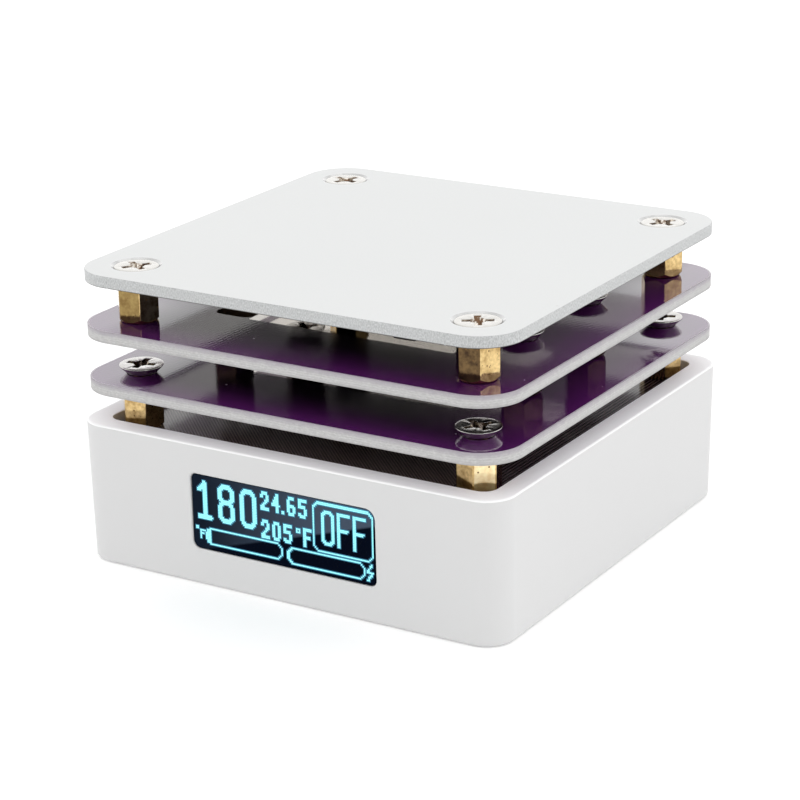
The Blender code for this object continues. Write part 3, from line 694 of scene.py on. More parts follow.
def boardFinish():
    # dark mask over copper: hatched copper at the left, long tracks elsewhere
    colours = {
        "gap": (0.016, 0.011, 0.010),
        "mesh": (0.220, 0.172, 0.150),
        "track": (0.130, 0.092, 0.098),
    }
    finish, tree, shader = startFinish("darkMask", colours["gap"], 0.12)
    tracks = useGroup(tree, linesGroup, Pitch=0.00050, Waver=0.0)
    hatch = useGroup(tree, linesGroup, Pitch=0.00036, Waver=0.0, Direction=(0.707, 0.707, 0.0))
    cross = useGroup(tree, linesGroup, Pitch=0.00036, Waver=0.0, Direction=(0.707, -0.707, 0.0))
    mesh = mathNode(tree, "MAXIMUM", (hatch, "Lines"), (cross, "Lines"))
    split = objectParts(tree)
    left = mathNode(tree, "LESS_THAN", (split, "X"), 0.0205)
    copper = tree.nodes.new("ShaderNodeMix")
    join(tree, left, 0, copper, 0)
    join(tree, tracks, "Lines", copper, 2)
    join(tree, mesh, 0, copper, 3)
    metal = mixColours(tree, (left, 0), colours["track"], colours["mesh"])
    tone = mixColours(tree, (copper, 0), colours["gap"], (metal, 2))
    join(tree, tone, 2, shader, "Base Color")
    addBump(tree, shader, (copper, 0), 0.12, 0.00002)
    return finish


def plainFinish(name, colour, roughness, metallic=0.0):
    # a body colour with a darker patchy tone, fine grain and uneven gloss
    finish, tree, shader = startFinish(name, colour, roughness, metallic)
    grain = useGroup(tree, grainGroup, Scale=3000.0, Patches=375.0)
    dark = shaded(colour, 0.75)
    tone = mixColours(tree, (grain, "Patch"), dark, colour)
    join(tree, tone, 2, shader, "Base Color")
    addGloss(tree, shader, (grain, "Grain"), 0.8 * roughness, 1.2 * roughness)
    addBump(tree, shader, (grain, "Grain"), 0.2, 0.00002)
    return finish


def glassFinish():
    # dark window with a painted reflection, a shade lighter above a slanting line
    glass = {
        "dark": (0.0002, 0.0018, 0.0080),
        # dim and light are the colours of the painted reflection
        "dim": (0.0062, 0.0120, 0.0240),
        "light": (0.064, 0.088, 0.130),
    }
    line = {"start": (-0.0104, 0.0050), "slope": 0.312}
    finish, tree, shader = startFinish("darkWindow", glass["dark"], 0.06)
    shader.inputs["Specular IOR Level"].default_value = 0.02
    split = objectParts(tree)
    along = mathNode(tree, "SUBTRACT", (split, "X"), line["start"][0])
    rise = mathNode(tree, "MULTIPLY", (along, 0), line["slope"])
    above = mathNode(tree, "SUBTRACT", (split, "Z"), (rise, 0))
    start = line["start"][1]
    share = rangeNode(tree, (above, 0), start - 0.0001, start + 0.0002, 0.0, 1.0)
    grain = useGroup(tree, grainGroup, Scale=900.0, Patches=60.0)
    reflectionMottle = rangeNode(tree, (grain, "Patch"), 0.3, 0.7, 0.8, 1.0)
    across = rangeNode(tree, (split, "X"), -0.0115, 0.006, 0.0, 1.0)
    pale = mixColours(tree, (across, "Result"), glass["dim"], glass["light"])
    shade = mathNode(tree, "MULTIPLY", (share, "Result"), (reflectionMottle, "Result"))
    tone = mixColours(tree, (shade, 0), glass["dark"], (pale, 2))
    join(tree, tone, 2, shader, "Base Color")
    return finish


def litFinish(name, colour, strength):
    finish, tree, shader = startFinish(name, (0.01, 0.03, 0.035), 0.4)
    grain = useGroup(tree, grainGroup, Scale=700.0, Patches=150.0)
    shade = shaded(colour, 0.86)
    tone = mixColours(tree, (grain, "Patch"), shade, colour)
    join(tree, tone, 2, shader, "Emission Color")
    shader.inputs["Emission Strength"].default_value = strength
    return finish


# the case

case = {
    "side": 60.0,  # at the rim
    "draft": 0.25,
    "corner": 3.7,
    "wall": 2.84,
    "mouthCorner": 1.8,
    "floor": 1.8,
    "rimRound": 0.32,
    "mouthRound": 0.12,
    "footRound": 0.6,
    "columnRadius": 3.3,
    "screwHole": 1.9,
    "sinkRadius": 3.15,
}
window = {
    "width": 26.2,
    "height": 9.75,
    "shift": 0.2,
    "top": 14.5,
    "corners": {"lowRight": 0.85, "highRight": 1.35, "highLeft": 0.8, "lowLeft": 1.0},
    "lip": 0.22,
    # room for the glass's flange behind the wall
    "rebate": {"halfWidth": 13.8, "front": -28.4, "low": 4.05, "high": 15.2},
}
keys = {
    "pitch": 9.5,
    "radius": 2.1,
    "hole": 2.25,
    "holeRound": 0.2,
    "collar": 0.7,  # its collar is this much wider
    "seat": 27.06,  # from the case's middle to the collar's face
    "soft": 0.35,
}
port = {"halfWidth": 4.77, "halfHeight": 1.93}
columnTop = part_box("control_board")[0].z / mm - 0.1
keyHeight = sum(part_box("button_cap_2"), Vector()).z / 2 / mm
portHeight = sum(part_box("usb_socket"), Vector()).z / 2 / mm
cornerSigns = [(1, -1), (1, 1), (-1, 1), (-1, -1)]
cornerAxis = sum(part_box("plate_screw_2"), Vector()).x / 2 / mm
middleAxis = sum(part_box("upper_middle_screw_2"), Vector()) / 2 / mm


def windowTool(name, grow, near, far):
    # block with its own radius at each corner of the window
    middle = window["shift"]
    high = window["top"]
    low = high - window["height"]
    half = window["width"] / 2
    piece = addBlock(
        name,
        Vector((middle - half - grow, -far, low - grow)) * mm,
        Vector((middle + half + grow, -near, high + grow)) * mm,
    )
    for label, radius in window["corners"].items():
        right = "Right" in label
        top = "high" in label

        def test(edge):
            spot = (edge.verts[0].co + edge.verts[1].co) / 2
            run = edge.verts[1].co - edge.verts[0].co
            along = abs(run.y) > 0.9 * run.length
            side = (spot.x > (middle + half * 0.8) * mm) if right else (
                spot.x < (middle - half * 0.8) * mm
            )
            level = (spot.z > (low + high) / 2 * mm) == top
            return along and side and level

        roundEdges(piece, test, (radius + grow) * mm, 8)
    return piece


def makeCase():
    half = case["side"] / 2
    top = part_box("base_case")[1].z / mm
    piece = addBlock("case", Vector((-half, -half, 0)) * mm, Vector((half, half, top)) * mm)
    choose(piece, "FACE", lambda face: face.normal.z < -0.9)
    share = (half - case["draft"]) / half
    bpy.ops.transform.resize(value=(share, share, 1), center_override=(0, 0, 0))
    bpy.ops.object.mode_set(mode="OBJECT")
    roundEdges(piece, isUpright, case["corner"] * mm, 20)
    roundEdges(piece, isLevelAt(top * mm), case["rimRound"] * mm, 4)
    roundEdges(piece, isLevelAt(0), case["footRound"] * mm, 5)

    mouth = half - case["wall"]
    pocket = roundedBlock(
        "pocket",
        Vector((-mouth, -mouth, case["floor"])) * mm,
        Vector((mouth, mouth, top + 1)) * mm,
        case["mouthCorner"] * mm,
        10,
    )
    axis = cornerAxis
    for number, (x, y) in enumerate(cornerSigns):
        spot = Vector((x * axis, y * axis, columnTop / 2)) * mm
        length = columnTop * mm
        column = addRod(f"column{number}", spot, case["columnRadius"] * mm, length)
        cut(pocket, column)
    cut(piece, pocket)
    choose(
        piece,
        "EDGE",
        lambda edge: isLevelAt(top * mm)(edge)
        and max(abs(edge.verts[0].co.x), abs(edge.verts[0].co.y)) < (mouth + 0.3) * mm,
    )
    roundChosen(case["mouthRound"] * mm, 2)

    opening = windowTool("opening", 0, mouth - 1, half + 1)
    cut(piece, opening)
    # the window's own edges in the front wall
    choose(
        piece,
        "EDGE",
        lambda edge: all(
            vert.co.y < -(half - 0.35) * mm
            and 3 * mm < vert.co.z < (top - 2) * mm
            and abs(vert.co.x) < 16 * mm
            for vert in edge.verts
        )
        and min(face.normal.y for face in edge.link_faces) < -0.9
        and max(face.normal.y for face in edge.link_faces) > -0.5,
    )
    roundChosen(window["lip"] * mm, 3)
    rebate = window["rebate"]
    left = window["shift"] - rebate["halfWidth"]
    right = window["shift"] + rebate["halfWidth"]
    room = addBlock(
        "rebate",
        Vector((left, rebate["front"], rebate["low"])) * mm,
        Vector((right, 1 - mouth, rebate["high"])) * mm,
    )
    cut(piece, room)

    for number in range(3):
        spot = Vector((-half + 1, (number - 1) * keys["pitch"], keyHeight)) * mm
        hole = addRod(f"keyHole{number}", spot, keys["hole"] * mm, 6 * mm, "X")
        cut(piece, hole)
    slot = addBlock(
        "portSlot",
        Vector((-port["halfWidth"], mouth - 1, portHeight - port["halfHeight"])) * mm,
        Vector((port["halfWidth"], half + 1, portHeight + port["halfHeight"])) * mm,
    )
    roundEdges(slot, isDeep, port["halfHeight"] * slotRound * mm, 12)
    cut(piece, slot)

    def isHoleEdge(edge):
        spots = [vert.co for vert in edge.verts]
        sides = [face.normal for face in edge.link_faces]
        left = all(spot.x < -(half - 0.3) * mm and abs(spot.y) < 15 * mm for spot in spots)
        rear = all(spot.y > (half - 0.3) * mm and abs(spot.x) < 6 * mm for spot in spots)
        high = all(5 * mm < spot.z < 17 * mm for spot in spots)
        turned = sides[0].angle(sides[1]) > 1.2
        return high and turned and (left or rear)

    roundEdges(piece, isHoleEdge, keys["holeRound"] * mm, 3)

    for number, (x, y) in enumerate(cornerSigns):
        spot = Vector((x * axis, y * axis, columnTop / 2)) * mm
        shaft = addRod(f"shaft{number}", spot, case["screwHole"] * mm, 20 * mm)
        cut(piece, shaft)
        sink = case["sinkRadius"]
        spot.z = (sink / 2 - 1) * mm
        tall = (sink + 1) * mm
        cut(piece, addRod(f"sink{number}", spot, tall, tall, topRadius=0))
    polish(piece)
    # painted light: the rim's top gets a lighter case colour and a glow
    rim = caseFinish("caseRimPaintedLight", (0.83, 0.83, 0.83), 0.155, 1.0)
    settle(piece, [caseFinish(), rim], ["base_case"])
    paintFaces(piece, 1, lambda face: face.center.z > (top - 0.2) * mm)
    print("case modelled")


# the sheets

sheets = {
    "corner": 5.5,
    "cornerSteps": 20,
    "plateBreak": 0.12,
    "shieldBreak": 0.06,
    "strip": 0.16,  # bare laminate inside a shield's edge
    "screwHole": 1.9,
    "sinkRadius": 3.15,
    "sinkRound": 0.05,
    "seams": (-23.8, 23.1),  # where the cutter met the plate's front edge
    "seamRow": -30.13,
    "seamRadius": 0.2,
    "inner": 28.0,  # edges nearer the middle than this belong to the sinks
    # left, right, front and rear of the bare tinned panels on a shield's top
    "panels": {
        "upperShield": [(-12.2, 16.8, -17.4, -10.5), (-28.4, 12.0, 10.5, 17.4)],
        "lowerShield": [(-12.2, 16.8, -17.4, -10.5), (-15.3, 15.3, 10.5, 17.4)],
    },
    "bareBelow": 28.4,  # half side of the bare underside of the upper shield
    "bareDepth": 0.03,
    "slot": {"left": -17.6, "right": -12.2, "front": -17.2, "rear": -14.6, "round": 1.2, "deep": 1.0},
}


def sheetBlank(name, node, edgeBreak, edgeSteps):
    low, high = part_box(node)
    piece = roundedBlock(name, low, high, sheets["corner"] * mm, sheets["cornerSteps"])
    for height in (low.z, high.z):
        roundEdges(piece, isLevelAt(height), edgeBreak * mm, edgeSteps)
    return piece, low.z, high.z


def drillSheet(piece, places, low, high):
    for number, (x, y) in enumerate(places):
        spot = Vector((x * mm, y * mm, (low + high) / 2))
        tool = addRod(f"drill{number}", spot, sheets["screwHole"] * mm, 4 * mm)
        cut(piece, tool)


def cornerPlaces():
    return [(x * cornerAxis, y * cornerAxis) for x, y in cornerSigns]


def middlePlaces():
    return [(x * middleAxis.x, y * middleAxis.y) for x, y in cornerSigns]


def makePlate():
    piece, low, high = sheetBlank("hotPlate", "heating_plate", sheets["plateBreak"], 3)
    drillSheet(piece, cornerPlaces(), low, high)
    radius = sheets["sinkRadius"]
    for number, (x, y) in enumerate(cornerPlaces()):
        spot = Vector((x * mm, y * mm, high + (1 - (radius + 1) / 2) * mm))
        tall = (radius + 1) * mm
        cone = addRod(f"sink{number}", spot, 0, tall, sides=64, topRadius=tall)
        cut(piece, cone)
    choose(
        piece,
        "EDGE",
        lambda edge: isLevelAt(high)(edge)
        and max(abs(edge.verts[0].co.x), abs(edge.verts[0].co.y)) < sheets["inner"] * mm,
    )
    roundChosen(sheets["sinkRound"] * mm, 2)
    for place in sheets["seams"]:
        spot = Vector((place * mm, sheets["seamRow"] * mm, (low + high) / 2))
        cut(piece, addRod("seam", spot, sheets["seamRadius"] * mm, 4 * mm, sides=12))
    polish(piece)
    back = bareFinish("plateBack", (0.50, 0.485, 0.465), 0.02, 0.04, 0.01)
    sink = bareFinish("turnedSink", (0.66, 0.66, 0.655), 0.12, 0.22, 0.1)
    shadedLowerEdge = bareFinish("plateLowerEdgeShade", (0.20, 0.20, 0.195), 0.4, 0.6, 0.1)
    finishes = [plateFaceFinish(), plateEdgeFinish(), back, sink, shadedLowerEdge]
    settle(piece, finishes, ["heating_plate"])
    paintFaces(piece, 1, lambda face: abs(face.normal.z) < 0.9)
    paintFaces(piece, 2, lambda face: face.normal.z < -0.9)

    def isSink(face):
        spot = face.center / mm
        reach = math.hypot(abs(spot.x) - cornerAxis, abs(spot.y) - cornerAxis)
        return abs(face.normal.z) < 0.98 and reach < sheets["sinkRadius"] + 0.1

    paintFaces(piece, 3, isSink)
    # painted shade: the lower edge break is painted dark
    foot = low + sheets["plateBreak"] * mm
    paintFaces(piece, 4, lambda face: face.center.z < foot and face.normal.z > -0.95)
    print("heating plate modelled")


def makeHeaterFilm(finish):
    # smooth film that holds the heater track, notched round the corner standoffs
    low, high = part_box("heater_track")
    piece = roundedBlock("heaterFilm", low, high, 1.0 * mm, 6)
    for number, (x, y) in enumerate(cornerPlaces()):
        spot = Vector((x * mm, y * mm, (low.z + high.z) / 2))
        cut(piece, addRod(f"notch{number}", spot, 3.3 * mm, 2 * mm))
    polish(piece)
    settle(piece, [finish], ["heater_track"])
    print("heater film modelled")


def makeSensorChip(finish):
    # flat chip under the film, where the thermistor is
    low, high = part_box("thermistor")
    low.z = high.z - 0.12 * mm
    piece = roundedBlock("sensorChip", low, high, 0.2 * mm, 4)
    roundEdges(piece, isLevelAt(low.z), 0.04 * mm, 2)
    polish(piece)
    settle(piece, [finish], ["thermistor"])


def openPanel(piece, level, left, right, front, rear):
    # a sunk rectangle in a face, where the mask was left off
    deep = sheets["bareDepth"]
    low = Vector((left, front, level / mm - deep)) * mm
    high = Vector((right, rear, level / mm + deep)) * mm
    cut(piece, roundedBlock("panelTool", low, high, 0.3 * mm, 4))


def makeShield(name, node, finishes):
    piece, low, high = sheetBlank(name, node, sheets["shieldBreak"], 2)
    for up in (1, -1):
        choose(piece, "FACE", lambda face: face.normal.z * up > 0.95)
        bpy.ops.mesh.inset(thickness=sheets["strip"] * mm, depth=0)
        bpy.ops.object.mode_set(mode="OBJECT")
    for panel in sheets["panels"][name]:
        openPanel(piece, high, *panel)
    if name == "upperShield":
        half = sheets["bareBelow"]
        openPanel(piece, low, -half, half, -half, half)
    slot = sheets["slot"]
    if name == "upperShield":
        tool = roundedBlock(
            "wireSlot",
            (slot["left"] * mm, slot["front"] * mm, high - slot["deep"] * mm),
            (slot["right"] * mm, slot["rear"] * mm, high + mm),
            slot["round"] * mm,
            8,
        )
        cut(piece, tool)
    drillSheet(piece, cornerPlaces() + middlePlaces(), low, high)
    polish(piece)
    settle(piece, finishes, [node])
    inner = (30 - sheets["strip"] - 0.02) * mm
    corner = (sheets["corner"] - sheets["strip"]) * mm

    def isMasked(face):
        spots = [piece.data.vertices[number].co for number in face.vertices]
        inside = True
        for spot in spots:
            x = max(abs(spot.x) - (inner - corner), 0)
            y = max(abs(spot.y) - (inner - corner), 0)
            inside = inside and math.hypot(x, y) < corner + 0.06 * mm
        return abs(face.normal.z) > 0.95 and inside

    paintFaces(piece, 1, lambda face: abs(face.normal.z) > 0.95)
    paintFaces(piece, 2, isMasked)
    sunk = sheets["bareDepth"] * 0.6 * mm

    def isBare(face):
        return abs(face.normal.z) > 0.95 and low + sunk < face.center.z < high - sunk

    paintFaces(piece, 3, isBare)
    paintFaces(piece, 5, lambda face: isBare(face) and face.normal.z < 0)

    def isSlot(face):
        x, y, z = face.center / mm
        inside = slot["left"] - 0.01 < x < slot["right"] + 0.01
        level = low / mm + 0.1 < z < high / mm - 0.2
        return inside and level and slot["front"] - 0.01 < y < slot["rear"] + 0.01

    if name == "upperShield":
        # painted shade inside the pocket
        paintFaces(piece, 4, isSlot)
    print(name, "modelled")


# standoffs and screws

standoff = {
    "flats": 4.8,
    "chamferWidth": 0.5,
    "chamferHeight": 0.6,
    "bore": 1.55,
    "edge": 0.16,
    "clean": (0.80, 0.59, 0.28),
    "dull": (0.44, 0.29, 0.12),
    "frontShade": (0.17, 0.108, 0.05),
    "deepShade": (0.055, 0.034, 0.020),
    "middleShadeTone": (0.13, 0.08, 0.065),
    "rightShadeTone": (0.13, 0.105, 0.08),
    "pale": (0.97, 0.84, 0.52),
    "faded": (0.83, 0.63, 0.34),
    "olive": (0.345, 0.245, 0.095),
    "bronze": (0.22, 0.14, 0.052),
}
hexTurns = {"upper": (5, 5, 20, 10), "middle": (5, 5, 20, 10), "lower": (45, 10, 33, 11)}


def makeStandoffs():
    brass = brassFinish("turnedBrass", standoff["clean"], standoff["dull"])
    frontShade = brassFinish("frontShadeBrass", standoff["frontShade"], standoff["deepShade"])
    deepShade = brassFinish("deepShadeBrass", standoff["rightShadeTone"], standoff["deepShade"], 0.38, 0.5)
    pale = brassFinish("paleBrass", standoff["pale"], standoff["faded"])
    withPaintedLight = brassFinish("sideShadeBrass", standoff["olive"], standoff["bronze"])
    middleShade = brassFinish("middleShadeBrass", standoff["middleShadeTone"], standoff["deepShade"])
    corner = standoff["flats"] / math.sqrt(3) * mm
    wide = standoff["chamferWidth"] * mm
    rise = standoff["chamferHeight"] * mm
    for group, turns in hexTurns.items():
        low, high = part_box(f"{group}_standoff_1")
        length = high.z - low.z
        spot = (0, 0, length / 2)
        bar = addRod(f"{group}Bar", spot, corner, length + 2 * mm, sides=6)
        roundEdges(bar, isUpright, standoff["edge"] * mm, 3)
        profile = [
            (0, 0),
            (corner - wide, 0),
            (corner + wide, 2 * rise),
            (corner + wide, length - 2 * rise),
            (corner - wide, length),
            (0, length),
        ]
        cut(bar, turnProfile("turnedEnds", profile, 72), "INTERSECT")
        cut(bar, addRod("bore", spot, standoff["bore"] * mm, 2 * length, sides=40))
        polish(bar, 25)
        for number, turn in enumerate(turns):
            node = f"{group}_standoff_{number + 1}"
            low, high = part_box(node)
            place = ((low.x + high.x) / 2, (low.y + high.y) / 2, low.z)
            # a six-sided rod starts with a corner on +Y
            angle = math.radians(turn - 30)
            piece = copyTo(bar, f"{group}Standoff{number + 1}", place, angle)
            # painted shade: the middle standoffs between the sheets are darkened all over
            finish = middleShade if group == "middle" else brass
            settle(piece, [finish, frontShade, deepShade, pale, withPaintedLight], [node])
            if group == "upper" and number == 0:
                # painted shade on the side towards the front
                paintFaces(piece, 1, lambda face: face.normal.y < -0.9)
            if group == "upper" and number == 3:
                # and here painted shade on the side towards the right
                paintFaces(piece, 2, lambda face: face.normal.x > 0.8 and face.normal.y < 0)
                # painted shade on the side towards the front
                paintFaces(piece, 4, lambda face: face.normal.y < -0.9)
            if group == "lower" and number == 0:
                # painted highlight on the side towards the front right corner
                paintFaces(piece, 3, lambda face: face.normal.x > 0.6 and face.normal.y < -0.6)
        bpy.data.objects.remove(bar, do_unlink=True)
    print("standoffs modelled")


screw = {
    "head": 5.5,
    "shank": 2.9,
    "point": 0.3,
    "span": 3.9,
    "wing": 0.86,
    "depth": 1.3,
    "taper": 0.5,
    "pit": 1.05,
    "soften": 0.06,
    "crossRound": 0.03,
    "rimHeight": 0.2,
}
screwGroups = {
    # group: which way up, turns in degrees
    "plate": (False, (31.5, 62, 71, 58)),
    "upper_corner": (True, (71, 58, 22, 85)),
    "upper_middle": (False, (22, 85, 49, 12)),
    "lower_middle": (True, (37, 71, 58, 22)),
    "lower_corner": (False, (58, 22, 85, 10.5)),
    "base": (True, (49, 12, 4, 37)),
}


def screwBlank(name, length):
    # head's top at z = 0, pointing down
    head = screw["head"] / 2
    shank = screw["shank"] / 2
    soft = screw["soften"]
    cone = head - shank
    foot = -length / mm
    profile = [
        (0, 0),
        (head - 3 * soft, 0),
        (head - 1.2 * soft, -0.25 * soft),
        (head - 0.3 * soft, -0.8 * soft),
        (head, -1.6 * soft),
        (head, -screw["rimHeight"] + soft),
        (head - 0.6 * soft, -screw["rimHeight"] - 0.4 * soft),
        (shank, -screw["rimHeight"] - cone),
        (shank, foot + screw["point"]),
        (shank - screw["point"], foot),
        (0, foot),
    ]
    piece = turnProfile(name, [(r * mm, z * mm) for r, z in profile], 64)
    depth = screw["depth"] * mm
    for number in range(2):
        across = screw["wing"] / 2 * mm
        along = screw["span"] / 2 * mm
        size = (along, across) if number == 0 else (across, along)
        wing = addBlock(
            f"wing{number}",
            (-size[0], -size[1], -depth),
            (size[0], size[1], 0.1 * mm),
        )
        choose(wing, "FACE", lambda face: face.normal.z < -0.9)
        taper = screw["taper"]
        bpy.ops.transform.resize(value=(taper, taper, 1), center_override=(0, 0, -depth))
        bpy.ops.object.mode_set(mode="OBJECT")
        cut(piece, wing)
    pit = screw["pit"] * mm
    spot = (0, 0, -1.25 * depth / 2 + 0.05 * mm)
    cut(piece, addRod("pit", spot, 0.25 * pit, 1.25 * depth + 0.1 * mm, "Z", 24, pit))
    choose(
        piece,
        "EDGE",
        lambda edge: all(
            abs(vert.co.z) < 1e-6 and vert.co.xy.length < (head - 4 * soft) * mm
            for vert in edge.verts
        )
        and len(edge.link_faces) == 2
        and edge.link_faces[0].normal.angle(edge.link_faces[1].normal) > 0.5,
    )
    roundChosen(screw["crossRound"] * mm, 2)
    polish(piece, 35)
    return piece


def isRecess(face):
    # faces of the cross, under the head's top and inside its cone
    spot = face.center / mm
    reach = spot.xy.length
    return -1.5 < spot.z < -0.045 and reach < screw["span"] / 2 + 0.05 + 0.6 * spot.z


def makeScrews(finishes, plateFinishes):
    # each pair is for the head and for its cross
    for group, (upsideDown, turns) in screwGroups.items():
        pair = plateFinishes if group == "plate" else finishes
        low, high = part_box(f"{group}_screw_1")
        blank = screwBlank(f"{group}Screw", high.z - low.z)
        for finish in pair:
            blank.data.materials.append(finish)
        paintFaces(blank, 1, isRecess)
        for number, turn in enumerate(turns):
            node = f"{group}_screw_{number + 1}"
            low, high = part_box(node)
            place = (
                (low.x + high.x) / 2,
                (low.y + high.y) / 2,
                low.z if upsideDown else high.z,
            )
            name = f"{group}Screw{number + 1}"
            piece = copyTo(blank, name, place, math.radians(turn), upsideDown)
            settle(piece, pair, [node])
        bpy.data.objects.remove(blank, do_unlink=True)
    print("screws modelled")


# display

display = {
    "pitch": 0.2,  # mm between dots
    "columns": 128,
    "rows": 46,
    "left": -12.6,
    "low": 5.15,
    "dot": 0.17,
    "frameLine": 1.2,  # line width of the frames, in dots
}


def cutLoop(left, low, right, high, across, up):
    # closed loop of points, its corners cut by across and up
    return [
        (left + across, low), (right - across, low), (right, low + up), (right, high - up),
        (right - across, high), (left + across, high), (left, high - up), (left, low + up),
        (left + across, low),
    ]


# strokes of each sign in a cell one wide and one high, as lines of points
strokes = {
    "0": [cutLoop(0, 0, 1, 1, 0.25, 0.15)],
    "1": [[(0.1, 0.8), (0.55, 1), (0.55, 0)], [(0.1, 0), (1, 0)]],
    "2": [[(0, 0.8), (0.25, 1), (0.75, 1), (1, 0.85), (1, 0.6), (0, 0.1), (0, 0), (1, 0)]],
    "4": [[(0.75, 0), (0.75, 1), (0, 0.35), (1, 0.35)]],
    "5": [[
        (1, 1), (0, 1), (0, 0.55), (0.75, 0.6),
        (1, 0.45), (1, 0.15), (0.75, 0), (0.2, 0), (0, 0.1),
    ]],
    "6": [[
        (0.9, 1), (0.3, 1), (0, 0.8), (0, 0.15), (0.25, 0),
        (0.75, 0), (1, 0.15), (1, 0.4), (0.75, 0.55), (0, 0.5),
    ]],
    "8": [
        [
            (0.25, 0.53), (0, 0.65), (0, 0.87), (0.25, 1), (0.75, 1),
            (1, 0.87), (1, 0.65), (0.75, 0.53), (0.25, 0.53),
        ],
        [(0.25, 0.53), (0, 0.4), (0, 0.13), (0.25, 0), (0.75, 0), (1, 0.13), (1, 0.4), (0.75, 0.53)],
    ],
    ".": [[(0, 0), (0, 0.02)]],
    "O": [cutLoop(0, 0, 1, 1, 0.2, 0.12)],
    "F": [[(1, 1), (0, 1), (0, 0)], [(0, 0.52), (0.8, 0.52)]],
}
# text, middle of its first stroke, foot, width and height of a sign, gap, line width, in dots
wording = [
    ("180", 3.5, 19.5, 9, 22, 7, 2.8),
    ("24", 50, 33, 4, 10, 4, 1.9),
    (".", 65, 33, 1, 10, 2, 1.9),
    ("65", 69, 33, 4, 10, 4, 1.9),
    ("205", 50, 15, 4, 10, 4, 1.9),
    ("F", 80, 15, 4, 10, 2, 1.9),
    ("F", 4.5, 5.5, 3, 5, 2, 1.1),
    ("OFF", 93, 19, 7, 20, 4, 1.9),
]
# left, low, right, high, cut corner, in dots
frames = [
    (86.5, 13.5, 127.5, 44.0, 3.0),
    (8.5, 2.5, 63.5, 12.5, 3.0),
    (68.0, 1.5, 121.5, 11.5, 3.0),
]
# other signs, as lines of points with their line width, in dots
marks = [
    ([(10.5, 4.5), (10.5, 10.5)], 3.9),  # filled end of the left bar
    ([(74.5, 22.5), (76.5, 22.5), (76.5, 24.5), (74.5, 24.5), (74.5, 22.5)], 1.1),
    ([(1.5, 11.5), (1.5, 12.5), (2.5, 12.5), (2.5, 11.5), (1.5, 11.5)], 0.9),
    ([(126.5, 11.5), (123.5, 6.5), (127.0, 6.5), (124.0, 1.5)], 1.3),
]


def lineDistance(spot, start, end):
    run = Vector(end) - Vector(start)
    share = 0.0 if run.length == 0 else (spot - Vector(start)).dot(run) / run.length_squared
    share = min(max(share, 0.0), 1.0)
    return (spot - Vector(start) - run * share).length


def litLines():
    # every stroke of the picture as (points, line width), in dots
    found = []
    for text, left, foot, width, height, gap, thick in wording:
        for number, sign in enumerate(text):
            start = left + number * (width + gap)
            for line in strokes[sign]:
                points = [(start + x * width, foot + y * height) for x, y in line]
                found.append((points, thick))
    for left, low, right, high, corner in frames:
        found.append((cutLoop(left, low, right, high, corner, corner), display["frameLine"]))
    return found + marks


def dotsNear(first, last, reach):
    return range(int(min(first, last) - reach) - 1, int(max(first, last) + reach) + 2)


def litDots():
    lit = set()
    for points, thick in litLines():
        reach = thick / 2
        for start, end in zip(points, points[1:]):
            for column in dotsNear(start[0], end[0], reach):
                for row in dotsNear(start[1], end[1], reach):
                    spot = Vector((column + 0.5, row + 0.5))
                    if lineDistance(spot, start, end) <= reach:
                        lit.add((column, row))
    return lit


def makeDots(name, lit, finer, keep, finish, lift, thickness):
    # a grid of faces over the picture, of which the lit ones stay
    pitch = display["pitch"] / finer
    columns = display["columns"] * finer
    rows = display["rows"] * finer
    wide = columns * pitch
    tall = rows * pitch
    clearChoice()
    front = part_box("display_lens")[0].y - lift * mm
    left = display["left"]
    low = display["low"]
    bpy.ops.mesh.primitive_grid_add(
        x_subdivisions=columns,
        y_subdivisions=rows,
        size=1,
        location=((left + wide / 2) * mm, front, (low + tall / 2) * mm),
        rotation=(math.pi / 2, 0, 0),
    )
    piece = bpy.context.object
    piece.name = name
    piece.scale = (wide * mm, tall * mm, 1)
    applyPlace()

    def isDark(face):
        spot = face.calc_center_median() / mm
        return not keep(lit, (spot.x - left) / display["pitch"], (spot.z - low) / display["pitch"])

    choose(piece, "FACE", isDark)
    bpy.ops.mesh.delete(type="FACE")
    if finer == 1:
        bpy.ops.mesh.select_all(action="SELECT")
        gap = (display["pitch"] - display["dot"]) / 2 * mm
        bpy.ops.mesh.inset(thickness=gap, depth=0, use_individual=True)
        bpy.ops.mesh.select_all(action="INVERT")
        bpy.ops.mesh.delete(type="FACE")
    bpy.ops.object.mode_set(mode="OBJECT")
    bpy.ops.object.modifier_add(type="SOLIDIFY")
    step = piece.modifiers[-1]
    step.thickness = thickness * mm
    step.offset = -1
    bpy.ops.object.modifier_apply(modifier=step.name)
    piece.data.materials.append(finish)
    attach(piece, "base")
    return piece


def isLit(lit, column, row):
    return (int(column), int(row)) in lit


def isNearLit(lit, column, row):
    near = 0.55
    return any(
        (int(column + x), int(row + y)) in lit for x in (-near, 0, near) for y in (-near, 0, near)
    )


def makeDisplay():
    low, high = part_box("display_lens")
    front = low.y / mm
    piece = windowTool("windowGlass", -0.1, -front - 1.4, -front)
    choose(
        piece,
        "EDGE",
        lambda edge: all(abs(vert.co.y - low.y) < 1e-6 for vert in edge.verts),
    )
    roundChosen(0.06 * mm, 2)
    flange = addBlock("glassFlange", (low.x, low.y + 1.4 * mm, low.z), high)
    cut(piece, flange, "UNION")
    polish(piece)
    settle(piece, [glassFinish()], ["display_lens"])
    lit = litDots()
    core = litFinish("litDot", (0.33, 0.96, 1.0), 1.35)
    glow = litFinish("glow", (0.012, 0.19, 0.34), 0.95)
    makeDots("glow", lit, 2, isNearLit, glow, 0.012, 0.006)
    makeDots("dots", lit, 1, isLit, core, 0.030, 0.012)
    print("display modelled:", len(lit), "dots lit")


# buttons and socket


